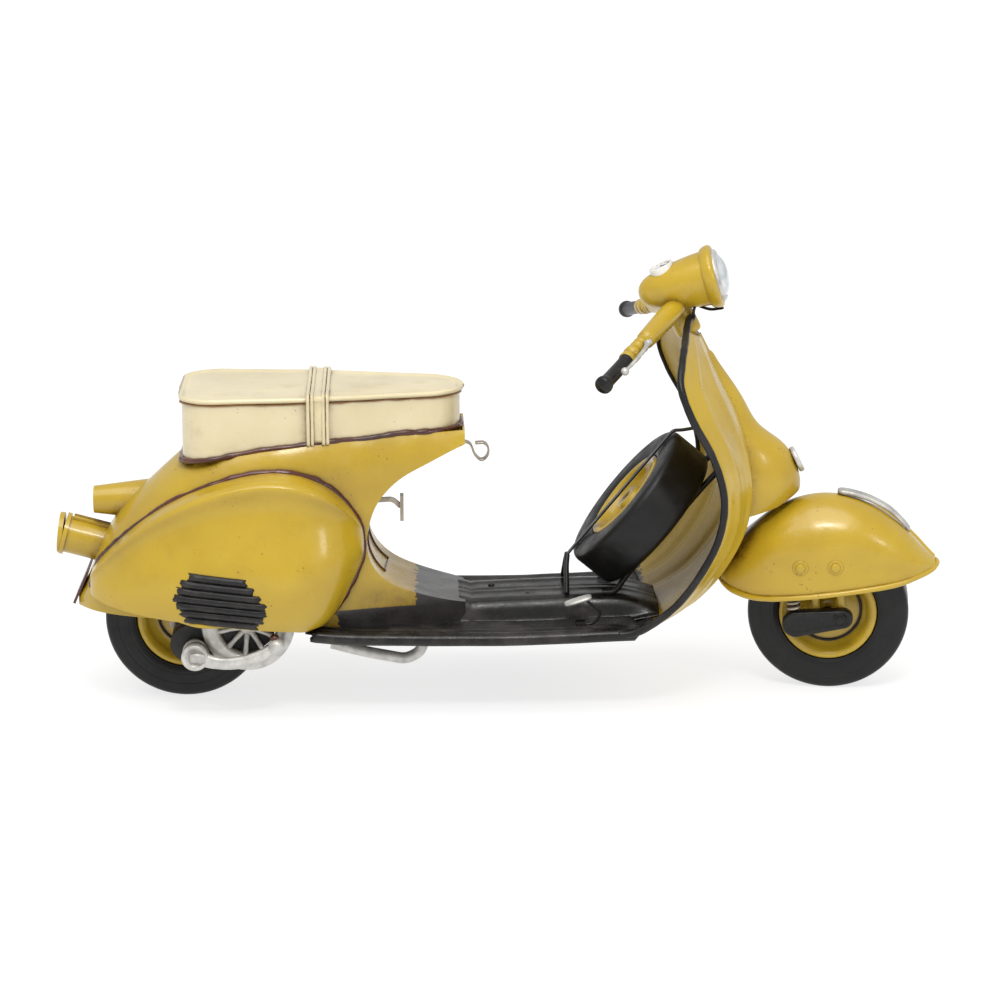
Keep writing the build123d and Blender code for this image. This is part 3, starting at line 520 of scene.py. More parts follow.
def shield_point(centre, edge, share, lift=0.0):
    """Point of a cross rib at a share of its half width; lift is in front of the surface."""
    cx, cz = centre.x, centre.z
    ex, ey, ez = edge
    rise = hypot(cx - ex, cz - ez)
    radius = (ey * ey + rise * rise) / (2 * rise)
    angle = asin(ey / radius) * share
    back = radius * (1 - cos(angle)) - lift
    return at(cx - (cx - ex) / rise * back, radius * sin(angle), cz - (cz - ez) / rise * back)


def leg_shield():
    centres = through([(x, 0, z) for (x, z), _ in SHIELD], 6)
    edges = through([edge for _, edge in SHIELD], 6)
    across = np.linspace(-1, 1, 97)
    rows = []
    for i, (centre, edge) in enumerate(zip(centres, edges)):
        fade = min(1.0, i / 9.0, (len(centres) - 1 - i) / 12.0)
        row = []
        for share in across:
            lift = 0.0
            for middle, height, width in RIDGES:
                lift += height * fade * exp(-((abs(share) - middle) / width) ** 2)
            roll = max(0.0, abs(share) - 0.94) / 0.06
            point = shield_point(centre, edge, share, lift - 0.9 * roll * roll)
            row.append(point + Vector((0.25 * MM * noise.noise(point * 55.0), 0, 0)))
        rows.append(row)
    shield = sheet("leg_shield_panel", rows, SHIELD_PAINT, 0.9, -1.0)
    fit(shield, "yellow_paint", "leg_shield")

    neck = [(171.0, 3.4, 129.6), (169.4, 7.6, 128.8)]
    foot = [(145.0, 37.5, 29.0)]
    line = neck + [(x - 0.4, y + 0.5, z) for _, (x, y, z) in SHIELD] + foot
    for side, name, radius, back in ((-1, "shield_trim_right", 1.25, 0.0),
                                     (1, "shield_trim_left", 0.85, 0.7)):
        path = through([at(x - back, side * y, z) for x, y, z in line], 7)
        trim = rod(name, path, radius, BLACK, ripple=0.12)
        fit(trim, "black_paint", *(["shield_trim"] if side < 0 else []))


# ---------------- beads round body and seat

# seam of the side cowl, (x, z) from the tail over the top to the floor
COWL_SEAM = [(-30.6, 41.4), (-29.9, 44.3), (-28.1, 49.8), (-21, 58.3), (-13.5, 64.8), (-2.8, 72.8),
             (7.7, 77.5), (19.3, 81.7), (29.7, 83.2), (39.1, 82.2), (46.4, 79.4), (52.6, 74.4),
             (57.3, 67.9), (59.8, 62), (60.2, 54.3), (57.6, 47.0), (54.0, 40.2), (50.0, 34.6)]
COWL_RIM = [(-25.6, 37.6), (-10, 35.4), (6, 34.0), (20, 32.3), (32, 31.0), (42, 30.6), (47, 32.0)]


def cowl_beads():
    body = skin("body_shell")
    both = skin("body_shell", "right_cowl")
    seam = [right_side(body, x, z, 0.9) for x, z in COWL_SEAM]
    right = rod("cowl_bead_right", through(seam, 10), 1.25, BROWN, ripple=0.30)
    fit(right, "brown_paint", "cowl_beads")
    fit(mirrored(right), "brown_paint")
    rim = [right_side(both, x, z + 0.5, 0.2, -34.0) for x, z in COWL_RIM]
    edge = rod("cowl_rim_right", through(rim, 8), 0.95, YELLOW, ripple=0.10)
    fit(edge, "yellow_paint", "cowl_rims")
    fit(mirrored(edge), "yellow_paint")


def louvres():
    """Seven pressed louvres in one ragged black patch, each a rounded ridge standing off the cowl."""
    cowl = skin("right_cowl")
    low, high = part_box("louvre_grille")
    pitch = (high.z - low.z) / MM / 7.35
    ends = [(3.4, 22.6), (1.0, 24.6), (-0.4, 27.0), (-1.4, 28.4), (-0.8, 28.4), (0.4, 27.6), (1.8, 25.6)]
    verts, faces = [], []
    columns, slope = 34, 0.087
    profile = [(0.0, 0.12), (0.16, 0.50), (0.34, 0.86), (0.52, 0.95), (0.70, 0.74), (0.86, 0.42), (1.0, 0.10)]
    for row, (x0, x1) in enumerate(ends):
        first = len(verts)
        for share, lift in profile:
            ragged0 = 1.1 * noise.noise(Vector((row * 3.1, share * 4, 0.5)))
            ragged1 = 1.1 * noise.noise(Vector((row * 2.3, share * 4, 7.5)))
            for c in range(columns):
                t = c / (columns - 1)
                x = x0 + ragged0 + (x1 + ragged1 - x0 - ragged0) * t
                z = 53.2 - pitch * (row + share) - slope * x
                ends_fade = min(1.0, t * 14, (1 - t) * 14)
                wobble = 0.15 * noise.noise(Vector((x * 0.35, row * 1.7, share)))
                verts.append(right_side(cowl, x, z, (lift + wobble) * ends_fade + 0.12))
        faces += lattice(len(profile), columns, first)
    patch = make("louvre_patch", verts, [f[::-1] for f in faces], LOUVRE)
    patch.modifiers.new("tin", "SOLIDIFY").thickness = 0.5 * MM
    patch.modifiers["tin"].offset = -1.0
    fit(patch, "black_paint", "louvre_grille")


# ---------------- seat

SEAT_ROUNDS = ((11.8, 13.6, 12.2), (42.0, 11.4, 12.2), (78.6, 0.0, 15.6))
SEAT_TOP = 105.6


def seat_half_width(x):
    """Half width of the seat's plan at a station: the hull of three pairs of circles."""
    best = 0.0
    for (xa, ya, ra), (xb, yb, rb) in zip(SEAT_ROUNDS, SEAT_ROUNDS[1:]):
        run = hypot(xb - xa, yb - ya)
        lean = asin((ra - rb) / run) + atan2(ya - yb, xb - xa)
        ta, tb = xa + ra * sin(lean), xb + rb * sin(lean)
        if ta <= x <= tb:
            share = (x - ta) / (tb - ta)
            wide_a, wide_b = ya + ra * cos(lean), yb + rb * cos(lean)
            best = max(best, wide_a + (wide_b - wide_a) * share)
    for xc, yc, radius in SEAT_ROUNDS:
        if abs(x - xc) < radius:
            best = max(best, yc + sqrt(radius ** 2 - (x - xc) ** 2))
    return best


def seat_plan(inset, count=150):
    """Closed plan outline of the seat as (x, y) points, evenly spread round it."""
    reach0, reach1 = -0.4 + inset, 94.2 - inset
    half = []
    for k in range(count // 2 + 1):
        t = pi * k / (count // 2)
        x = reach0 + (reach1 - reach0) * (1 - cos(t)) / 2
        inner_x = min(max(x, reach0 + 0.01), reach1 - 0.01)
        half.append((x, max(seat_half_width(inner_x) - inset, 0.0)))
    return half + [(x, -y) for x, y in half[-2:0:-1]]


def seat():
    """Lid with a rolled rim, and a strap of two doubled cords over it."""
    bands = [(1.6, -0.1), (0.2, -0.25), (-0.5, 0.3), (-0.6, 0.9), (0.0, 1.45), (0.9, 1.5), (1.8, 1.0),
             (3.0, 0.95), (6.0, 1.15), (10.0, 1.3)]
    verts, faces = [], []
    for inset, rise in bands:
        for x, y in seat_plan(inset):
            lumps = 0.10 * noise.noise(Vector((x * 0.11, y * 0.11, 3.0)))
            verts.append(at(x, y, SEAT_TOP + rise + lumps))
    count = len(verts) // len(bands)
    faces = lattice(len(bands), count, wrap_columns=True)
    last = (len(bands) - 1) * count
    faces.append([last + k for k in range(count)])
    lid = make("seat_lid_panel", verts, [f[::-1] for f in faces], CREAM)
    fit(lid, "cream_paint", "seat_lid")

    cords = []
    for x, y_half in ((42.7, 24.2), (44.0, 24.0), (47.7, 23.3), (49.0, 23.0)):
        foot = 91.2 + 0.03 * (x - 42)
        line = [(-y_half, foot), (-y_half - 0.3, 97), (-y_half - 0.5, SEAT_TOP - 1.2),
                (-y_half - 0.6, SEAT_TOP + 1.2), (-y_half + 1.6, SEAT_TOP + 2.2), (-10, SEAT_TOP + 1.9)]
        line += [(-y, z) for y, z in line[::-1]]
        path = through([at(x, y, z) for y, z in line], 7)
        cords.append(rod("cord", path, 0.62, CREAM, sides=10, ripple=0.15))
    band = [(-23.3, 92), (-23.6, 98), (-23.9, SEAT_TOP - 0.8), (-24.3, SEAT_TOP + 1.0),
            (-22.4, SEAT_TOP + 1.9), (-10, SEAT_TOP + 1.6)]
    band += [(-y, z) for y, z in band[::-1]]
    curve = through([(0, y, z) for y, z in band], 6)
    rows = [[at(x, p.y, p.z) for x in (43.6, 45.0, 46.6, 48.2)] for p in curve]
    strap = sheet("strap_band", rows, CREAM, 0.3, 1.0)
    fit(join("seat_strap_cords", *cords), "cream_paint", "seat_straps")
    fit(strap, "cream_paint")

    # a thin brown line round the lid, just under its rim
    under = [at(x, y, SEAT_TOP - 0.75 + 0.25 * noise.noise(Vector((x * 0.2, y * 0.2, 8))))
             for x, y in seat_plan(0.75)]
    rim_line = rod("lid_rim_line", under, 0.34, RIM_LINE_BROWN, sides=8, closed=True, ripple=0.3, up=UP)
    fit(rim_line, "brown_paint")

    # brown bead of paint where the box meets the body, a little uneven
    line = [(-6, 84.0), (14.8, 87.1), (27.5, 89.3), (42, 90.8), (58, 91.9), (74, 92.8), (98, 93.4)]
    path = []
    for x, y in seat_plan(0.7, 180):
        z = np.interp(x, [p[0] for p in line], [p[1] for p in line])
        path.append(at(x, y, z + 0.25 + 0.5 * noise.noise(Vector((x * 0.09, y * 0.09, 1.0)))))
    bead = rod("seat_foot_bead", path, 0.95, BROWN, closed=True, ripple=0.35, up=UP)
    fit(bead, "brown_paint", "seat_bead")


# ---------------- floor and tunnel

FLOOR_LINE = [(41, 28.0), (60, 26.6), (107, 26.0), (130, 26.6), (150, 27.4)]
FLOOR_LIFT = 1.2          # the pressed board stands a little over the flat line


def floor():
    """Floor board with a rolled lip and two pressed ribs along each side."""
    half = [(0, 0.05), (16, 0.05), (26.6, 0.05), (27.4, 0.15), (28.0, 0.9), (29.4, 0.95), (30.1, 0.15),
            (31.2, 0.1), (32.0, 0.9), (33.4, 0.95), (34.2, 0.15), (35.3, 0.2), (36.0, 1.2), (37.0, 1.5),
            (37.7, 0.9), (37.7, -0.3), (37.2, -1.1)]
    section = both_ways(half)
    line = through([(x, 0, z) for x, z in FLOOR_LINE], 10)
    rows = []
    for p in line:
        fade = min(1.0, (line[-1].x - p.x) / 7.0 + 0.05, (p.x - line[0].x) / 3.0 + 0.35)
        row = []
        for y, rise in section:
            high = rise * (fade if rise > 0.5 and abs(y) < 35.5 else 1.0)
            wave = 0.12 * noise.noise(Vector((p.x * 0.08, y * 0.1, 0)))
            corner = max(0.0, 3.0 - (p.x - line[0].x)) ** 2 * 0.35 if abs(y) > 35 else 0.0
            row.append(at(p.x + corner, y, p.z + high + wave + FLOOR_LIFT))
        rows.append(row)
    (x1, z1), edge1 = SHIELD[-2]
    (x0, z0), edge0 = SHIELD[-1]
    for step in (0.2, 0.5, 0.8):           # the board runs up onto the foot of the shield
        centre = Vector((x0 + (x1 - x0) * step, 0, z0 + (z1 - z0) * step))
        edge = [a + (b - a) * step for a, b in zip(edge0, edge1)]
        rows.append([shield_point(centre, edge, y / 38.4, 0.5 + 0.25 * max(rise, 0.0))
                     for y, rise in section])
    board = sheet("floor_panel", rows, FLOOR, 0.8, -1.0)
    fit(board, "black_paint", "floor_board")


def tunnel():
    """Raised centre channel with three long pressed ribs, running into the leg shield."""
    top_line = [(92.5, 34.6), (98, 33.8), (110, 34.2), (128, 34.8), (141, 35.0), (148, 34.7), (154, 33.4),
                (160, 31.6)]
    half = [(0, 0.0), (1.2, 0.0), (1.8, 0.25), (2.6, 0.25), (3.2, 0.0), (9.0, 0.0), (9.6, 0.25),
            (10.6, 0.25), (11.2, 0.0), (13.0, -0.15), (13.9, -0.9), (14.6, -3.0), (15.4, -5.6),
            (15.9, -6.8), (16.8, -7.6), (18.0, -8.0)]
    section = both_ways(half)
    rows = []
    for p in through([(x, 0, z) for x, z in top_line], 8):
        floor_z = np.interp(p.x, [q[0] for q in FLOOR_LINE] + [165], [q[1] for q in FLOOR_LINE] + [30.5])
        depth = p.z - floor_z
        seam = 0.35 * exp(-((p.x - 97.0) / 0.9) ** 2)
        row = []
        for y, drop in section:
            z = p.z - seam + (drop if drop > -1 else drop * depth / 8.2)
            wave = 0.15 * noise.noise(Vector((p.x * 0.1, y * 0.1, 2)))
            row.append(at(p.x, y, max(z, floor_z + 0.2) + wave))
        rows.append(row)
    cover = sheet("tunnel_panel", rows, FLOOR, 0.6, -1.0)
    studs = []
    for x, y in ((104.0, 6.0), (116.0, -6.0), (128.0, 6.0), (128.0, -6.0)):
        dome = [(0.0, 0.01), (0.0, 1.3), (0.5, 1.1), (0.85, 0.6), (0.95, 0.01)]
        studs.append(lathe("stud", dome, facing(at(x, y, 34.3), UP), BLACK, 20, False))
    fit(cover, "black_paint", "floor_tunnel")
    fit(join("tunnel_studs", *studs), "black_paint")


# ---------------- wheels

def tyre_profile():
    """Flat tread, round shoulders and walls with two faint moulded grooves."""
    wall = 8.0
    side = [(3, 27.4), (6.2, 27.3), (7.7, 26.0), (wall, 23.4), (wall - 0.1, 22.9), (wall, 22.3),
            (wall - 0.1, 20.0), (wall - 0.22, 19.5), (wall - 0.2, 18.9), (7.2, 17.4), (6.3, 16.9)]
    return rounded([(0, 27.4)] + side + [(0, 16.85)] + [(-a, r) for a, r in side[::-1]], 4)


def rim_profile(bore):
    """Dished tin rim: rolled edge, a step, a shallow bowl and a boss."""
    side = [(2.2, bore), (5.9, 1.7), (6.3, 2.3), (6.2, 4.2), (5.6, 4.8), (3.2, 5.2), (2.6, 6.4),
            (2.7, 10.6), (3.3, 12.4), (4.6, 13.4), (6.2, 13.9), (7.1, 14.7), (7.5, 15.6), (7.2, 16.5),
            (6.2, 16.75)]
    return side + [(-a, r) for a, r in side[::-1]]


def wheel(name, place, body, nodes, ring_radius):
    tyre = lathe(f"{name}_tyre_hoop", tyre_profile(), place, TYRE, 120)
    fit(tyre, "tyre", nodes[0], body=body)
    disc = lathe(f"{name}_rim_disc", rim_profile(1.6 if ring_radius else 0.01), place, YELLOW, 96)
    fit(disc, "yellow_paint", nodes[1], body=body)
    if ring_radius:
        hoops = []
        for side in (-1, 1):
            bead = [(side * 3.2 + 0.45 * cos(a), ring_radius + 0.45 * sin(a))
                    for a in np.linspace(0, 2 * pi, 10, endpoint=False)]
            hoops.append(lathe("hoop", bead, place, BLACK, 96))
        fit(join(f"{name}_rim_ring", *hoops), "black_paint", body=body)


def box_centre(node):
    low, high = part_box(node)
    return (low + high) / 2


def wheels():
    wheel("rear", facing(box_centre("rear_tyre"), LEFT), "rear_wheel", ("rear_tyre", "rear_rim"), 9.6)
    turned = (STEER_TURN.to_3x3() @ LEFT).normalized()
    wheel("front", facing(box_centre("front_tyre"), turned), "front_wheel", ("front_tyre", "front_rim"), 11.2)
    wheel("spare", facing(box_centre("spare_tyre"), Vector((-0.769, 0, 0.639))), "chassis",
          ("spare_tyre", "spare_rim"), 0)


# ---------------- front mudguard, fork and link

FENDER_EDGE = [(183.4, 6.2, 37.9), (187, 11.3, 36.3), (194, 15.0, 35.2), (203, 17.2, 35.7),
               (217, 18.0, 37.5), (232, 17.0, 39.7), (243, 14.3, 41.3), (250.6, 9.5, 43.1),
               (254.8, 5.2, 44.3)]


def mudguard_trim():
    right = [at(x, -y, z) for x, y, z in FENDER_EDGE]
    left = [at(x, y, z) for x, y, z in FENDER_EDGE[::-1]]
    path = through([at(182.3, 0, 38.6)] + right + [at(256.2, 0, 45.0)] + left, 8, closed=True)
    edge = rod("mudguard_rolled_edge", path, 0.95, YELLOW, closed=True, ripple=0.10)
    fit_steering(edge, "yellow_paint", "fender_bead")

    crest_line = [(222.0, 69.5), (225.0, 69.3), (228.6, 68.5), (233.2, 67.0), (239.2, 63.8), (243.4, 60.0),
                  (246.4, 56.6)]
    spine = through([at(x, 0, z) for x, z in crest_line], 6)
    half = [(0, 0.1), (1.0, 0.05), (1.3, 0.3), (1.6, 0.0), (1.7, -0.9)]
    section = both_ways(half)
    rows = []
    for i, p in enumerate(spine):
        taper = min(1.0, 0.45 + 0.25 * min(i, len(spine) - 1 - i))
        rows.append([p + Vector((0, y * taper * MM, h * MM)) for y, h in section])
    crest = sheet("mudguard_crest", rows, SILVER, 0.4, -1.0)
    fit_steering(crest, "silver_paint", "fender_crest")


def hex_head(name, place, radius, height, finish):
    """Hexagon bolt head on a thin round washer, both a little rounded by the paint."""
    verts, faces = [], []
    for lift, scale in ((0.0, 1.0), (height * 0.7, 1.0), (height, 0.82)):
        for k in range(6):
            verts.append(place @ spun(radius * scale, pi / 3 * k + 0.2, lift + 0.25))
    faces = lattice(3, 6, wrap_columns=True) + [[12 + k for k in range(6)]]
    head = make("head", verts, faces, finish)
    washer = [(0.0, 0.01), (0.0, radius * 1.5), (0.22, radius * 1.52), (0.36, radius * 1.4), (0.36, 0.01)]
    return join(name, head, lathe("washer", washer, place, finish, 32, False))


def front_hardware():
    fender = skin("front_fender")
    bolts = []
    for x, z in ((210.0, 47.0), (221.8, 47.6)):
        start = STEER_TURN @ at(x, -60, z)
        hit, normal, _, _ = fender.ray_cast(start, STEER_TURN.to_3x3() @ LEFT)
        place = facing(hit - normal * 0.1 * MM, normal)
        bolts.append(hex_head("bolt", place, 1.75, 0.9, YELLOW))
    fit(join("mudguard_bolts", *bolts), "yellow_paint", "front_bolts", body="steering")

    link_bolt = hex_head("link_bolt", facing(at(223.7, -14.5, 28.2), RIGHT), 1.35, 0.8, BLACK)
    fit_steering(link_bolt, "black_paint")

    # the trailing link: a flat arm with a rounded raised border
    rear, front = (208.9, 25.6, 4.6), (224.8, 28.0, 3.4)
    run = hypot(front[0] - rear[0], front[1] - rear[1])
    tilt = atan2(front[1] - rear[1], front[0] - rear[0])
    lean = asin((rear[2] - front[2]) / run)
    outline = []
    for end, first, sweep in ((rear, tilt + pi / 2 - lean, pi + 2 * lean),
                              (front, tilt - pi / 2 + lean, pi - 2 * lean)):
        outline += [(*end, first + sweep * k / 32) for k in range(33)]
    layers = [(-11.45, 0.0), (-14.0, 0.0), (-14.6, 0.25), (-14.9, 0.7), (-14.8, 1.2), (-14.5, 1.5),
              (-14.5, 3.0)]
    verts = []
    for y, inset in layers:
        for cx, cz, radius, angle in outline:
            r = max(radius - inset, 0.2)
            verts.append(at(cx + r * cos(angle), y, cz + r * sin(angle)))
    count = len(outline)
    faces = lattice(len(layers), count, wrap_columns=True)
    faces += [list(range(count))[::-1], [(len(layers) - 1) * count + k for k in range(count)]]
    link = make("trailing_link", verts, faces, BLACK)
    fit_steering(link, "black_paint", "link_arm")


# ---------------- headlight

LAMP_TILT = radians(16.0)
LAMP_FRONT = at(179.0, 0, 143.4)


def headlight():
    ahead = Vector((cos(LAMP_TILT), 0, sin(LAMP_TILT)))
    place = facing(LAMP_FRONT, ahead)
    shell = [(-26.6, 0.01), (-26.3, 2.0), (-25.0, 3.9), (-22.4, 5.5), (-17.0, 7.2), (-10.0, 8.5),
             (-3.4, 9.2), (0.2, 9.2)]
    bucket = lathe("lamp_bucket", domed(shell), place, YELLOW, 96, False)
    bezel = rounded([(-3.4, 9.25), (-3.0, 10.0), (-1.8, 10.55), (-0.4, 10.7), (0.5, 10.1), (0.7, 8.9),
                     (0.1, 8.7), (-1.0, 9.2)], 5)
    collar = lathe("lamp_bezel", bezel, place, YELLOW, 96)
    trim = rounded([(0.3, 7.3), (0.4, 8.9), (1.2, 8.9), (1.9, 8.2), (1.9, 7.4)], 4)
    ring = lathe("lamp_ring", trim, place, SILVER, 96)
    dome = [(1.2, 7.9), (2.0, 7.2), (2.9, 6.0), (3.7, 4.3), (4.2, 2.2), (4.4, 0.01)]
    glass = lathe("lamp_glass", domed(dome, 5), place, LENS, 96, False)
    bracket_path = through([at(172.6, -1.2, 133.6), at(177.2, -1.2, 132.2), at(181.2, -1.2, 132.6)], 6)
    bracket = rod("lamp_bracket", bracket_path, 1.5, BLACK, flat=0.25, up=UP, sides=10)
    lead = [(172.6, -3.0, 134.4), (172.0, -4.4, 132.0), (172.2, -5.0, 130.2), (171.2, -5.2, 128.6)]
    cable = rod("lamp_lead", through([at(*p) for p in lead], 8), 0.5, BLACK, sides=10)
    fit_steering(bucket, "yellow_paint", "headlight_housing")
    fit_steering(collar, "yellow_paint", "headlight_bezel")
    fit_steering(ring, "silver_paint", "headlight_rim")
    fit_steering(glass, "lens", "headlight_lens")
    fit_steering(bracket, "black_paint")
    fit_steering(cable, "black_paint", "lamp_cable")


def dial():
    """White dial let into the lamp's back, with plain ticks and a hand."""
    tilt = radians(26)
    place = facing(at(160.6, 0, 146.2), Vector((-sin(tilt), 0, cos(tilt))))
    face = [(-2.2, 4.2), (0.15, 4.3), (0.5, 4.1), (0.4, 3.7), (0.15, 3.6), (0.1, 0.01)]
    disc = lathe("dial_face", face, place, DIAL, 64, False)
    marks = []
    for k in range(9):
        angle = radians(-30 + 30 * k)
        inner, outer, half, height = 2.5, 3.3, 0.16, 0.23
        points = []
        for r, s in ((inner, -half), (outer, -half), (outer, half), (inner, half)):
            x = r * cos(angle) - s * sin(angle)
            y = r * sin(angle) + s * cos(angle)
            points.append(place @ (Vector((x, y, height)) * MM))
        marks.append(make("mark", points, [[0, 1, 2, 3]], BLUE))
    hand = [(-0.3, -0.3, 0.3), (0.2, -0.3, 0.3), (1.6, 2.0, 0.3), (-0.3, 0.3, 0.3)]
    marks.append(make("needle", [place @ (Vector(p) * MM) for p in hand], [[0, 1, 2, 3]], BLUE))
    ticks = join("dial_marks", *marks)
    ticks.modifiers.new("print", "SOLIDIFY").thickness = 0.1 * MM
    fit_steering(disc, "dial_white", "speedometer_dial")
    fit_steering(ticks, "dial_white")


# ---------------- bars and levers

BAR_ROOT = Vector((166.0, -5.0, 133.4))
BAR_END = Vector((145.4, -57.2, 120.2))
LEFT_ROOT = at(166.0, 5.0, 133.4)
DROOP = (Matrix.Translation(LEFT_ROOT) @ Matrix.Rotation(radians(-4.0), 4, "X")
         @ Matrix.Translation(-LEFT_ROOT))


def on_bar(share, forward=0.0, up=0.0):
    p = BAR_ROOT + (BAR_END - BAR_ROOT) * share
    return at(p.x + forward, p.y, p.z + up)


def bar_profile(name, spans, finish):
    """Round bar from (share along it, radius) pairs."""
    path = [on_bar(share) for share, _ in spans]
    return rod(name, path, [r for _, r in spans], finish, sides=28)


def left_bar(piece):
    """Twin of a right-hand piece on the left bar, which was bent a little lower."""
    twin = mirrored(piece)
    twin.data.transform(DROOP)
    return twin


def bars():
    sleeve = [(-0.03, 2.7), (0.0, 3.2), (0.04, 3.5), (0.12, 3.55), (0.28, 3.35), (0.40, 3.1), (0.425, 3.0),
              (0.43, 2.4), (0.47, 2.35), (0.475, 2.7), (0.49, 2.75), (0.497, 2.4), (0.515, 2.4),
              (0.52, 2.7), (0.535, 2.75), (0.542, 2.4), (0.575, 2.4), (0.58, 2.85), (0.62, 2.9),
              (0.625, 2.3), (0.64, 2.3), (0.645, 2.75), (0.68, 2.8), (0.69, 2.2)]
    grip = [(0.675, 2.0), (0.68, 2.55), (0.69, 2.6), (0.70, 2.3), (0.80, 2.3), (0.93, 2.35), (0.95, 2.45),
            (0.96, 2.85), (0.975, 3.0), (0.99, 2.9), (1.0, 2.4), (1.003, 1.2)]
    right = join("bar_right", bar_profile("bar", sleeve, YELLOW))
    hand = bar_profile("grip_right", grip, GRIP)
    left, hand_left = left_bar(right), left_bar(hand)
    fit_steering(right, "yellow_paint", "handlebar")
    fit_steering(left, "yellow_paint")
    fit_steering(hand, "black_paint", "handlebar_grips")
    fit_steering(hand_left, "black_paint")

    neck_z = 123.6
    neck = facing(at(WHEELBASE - (neck_z - TYRE_R) * tan(RAKE), 0, neck_z), STEER_DIR)
    collar = [(0.0, 2.3), (0.0, 3.9), (0.5, 4.3), (2.0, 4.45), (9.5, 4.3), (11.5, 4.0), (12.5, 3.2),
              (12.6, 0.01)]
    column = lathe("bar_collar", collar, neck, YELLOW, 48, False)
    fit_steering(column, "yellow_paint")


def lever(side, node):
    """Flat lever blade from a round boss on its pin to a ball end, with the perch's screw."""
    pin, end = on_bar(0.53, 3.4, 2.0), on_bar(0.905, 5.0, 2.6)
    bow = [pin.lerp(end, share) + Vector((ahead * MM, 0, 0)) for share, ahead in ((0.3, 0.6), (0.7, 0.4))]
    path = through([pin] + bow + [end], 8)
    radii = tapered(path, [0, 0.12, 0.5, 0.95, 1], [1.5, 1.05, 0.85, 0.75, 0.8])
    blade = rod("blade", path, radii, SILVER, sides=14, flat=0.62, up=STEER_DIR)
    screw = [(-0.75, 0.01), (-0.75, 1.3), (-0.3, 1.5), (0.3, 1.5), (0.75, 1.3), (0.8, 0.9), (1.05, 0.8),
             (1.1, 0.01)]
    boss = lathe("boss", screw, facing(pin, STEER_DIR), SILVER, 36, False)
    knob = lathe("knob", ball(1.35, 13), facing(end, (end - pin).normalized()), SILVER, 28, False)
    piece = join(f"{side}_lever_blade", blade, boss, knob)
    if side == "left":
        first, piece = piece, left_bar(piece)
        bpy.data.objects.remove(first)
        piece.name = "left_lever_blade"
    fit_steering(piece, "silver_paint", node, body=f"{side}_lever")


def brake_pedal():
    """Silver pad on a bent black wire that rocks on a pin across the floor."""
    y, tilt = -24.6, radians(17.0)
    line = [(133.0, 28.8), (137.4, 29.6), (139.4, 33.4), (135.2, 37.0)]
    wire = rod("pedal_wire", through([at(x, y, z) for x, z in line], 6), 0.5, BLACK, sides=10)
    pin = rod("pedal_pin", [at(133.0, y - 2.6, 28.6), at(133.0, y + 2.6, 28.6)], 0.8, BLACK, sides=12)
    rows = []
    for u in np.linspace(-1, 1, 11):
        width = 2.6 * (1 - abs(u) ** 4 * 0.35)
        rows.append([at(132.2 + 4.5 * u * cos(tilt), y + width * v, 36.9 + 4.5 * u * sin(tilt)
                        + 0.4 * (1 - v ** 4) * (1 - u ** 6)) for v in np.linspace(-1, 1, 9)])
    pad = sheet("pedal_pad", rows, SILVER, 0.8, -1.0)
    fit(pad, "bare_steel", "brake_pedal", body="pedal")
    fit(join("pedal_wires", wire, pin), "black_paint", body="pedal")


def horn_throat():
    """Curved tin behind the mudguard that closes the foot of the horn cover."""
    rows = [[at(192.6 - 0.38 * (63.6 - z) - 0.018 * y * y, y, z) for y in np.linspace(-8, 8, 25)]
            for z in (56.6, 58.6, 60.6, 62.4, 63.6)]
    throat = sheet("horn_throat", rows, YELLOW, 0.6, -1.0)
    fit(throat, "yellow_paint")


# ---------------- engine side

def kick_start():
    """Cast kick lever: a stepped round head, a flat curved arm and a ball pedal."""
    y = -37.6
    knob = [(-3.6, 0.01), (-3.6, 4.2), (1.0, 4.5), (1.7, 4.2), (1.9, 3.2), (1.5, 3.0), (1.5, 0.01)]
    head = lathe("head", knob, facing(at(4.6, y, 22.8), RIGHT), SILVER, 48, False)
    step = make("step", *plate_block((3.0, 21.2, 8.2, 24.4), y - 1.5, y - 2.3), SILVER)
    arm_line = [(6.0, y - 0.2, 22.4), (11.0, y - 0.4, 21.0), (16.0, y - 0.8, 20.7), (21.6, y - 1.2, 21.6),
                (26.6, y - 1.4, 23.6), (30.6, y - 1.2, 26.0)]
    arm_path = through([at(*p) for p in arm_line], 7)
    radii = tapered(arm_path, [0, 0.25, 0.6, 1], [2.6, 2.1, 2.2, 1.7])
    arm = rod("arm", arm_path, radii, SILVER, sides=18, flat=0.62, up=RIGHT)
    pedal = lathe("ball", ball(2.8, 17), facing(at(31.6, y - 1.4, 26.8), RIGHT), SILVER, 36, False)
    cap = lathe("cap", [(0.0, 0.01), (0.0, 1.6), (1.0, 1.5), (1.6, 0.9), (1.7, 0.01)],
                facing(at(31.0, y - 1.2, 29.0), UP), BROWN, 24, False)
    casting = join("kick_lever_casting", head, step, arm, pedal, cap)
    fit(casting, "silver_paint", "kick_lever", body="kickstarter")


def plate_block(box, y0, y1):
    """Vertices and faces of a small block with a bevelled face, from an (x0, z0, x1, z1) box."""
    x0, z0, x1, z1 = box
    verts = [at(x, y0, z) for x, z in ((x0, z0), (x1, z0), (x1, z1), (x0, z1))]
    x0, z0, x1, z1 = x0 + 0.3, z0 + 0.3, x1 - 0.3, z1 - 0.3
    verts += [at(x, y1, z) for x, z in ((x0, z0), (x1, z0), (x1, z1), (x0, z1))]
    return verts, [[4, 5, 6, 7], [0, 1, 5, 4], [1, 2, 6, 5], [2, 3, 7, 6], [3, 0, 4, 7]]


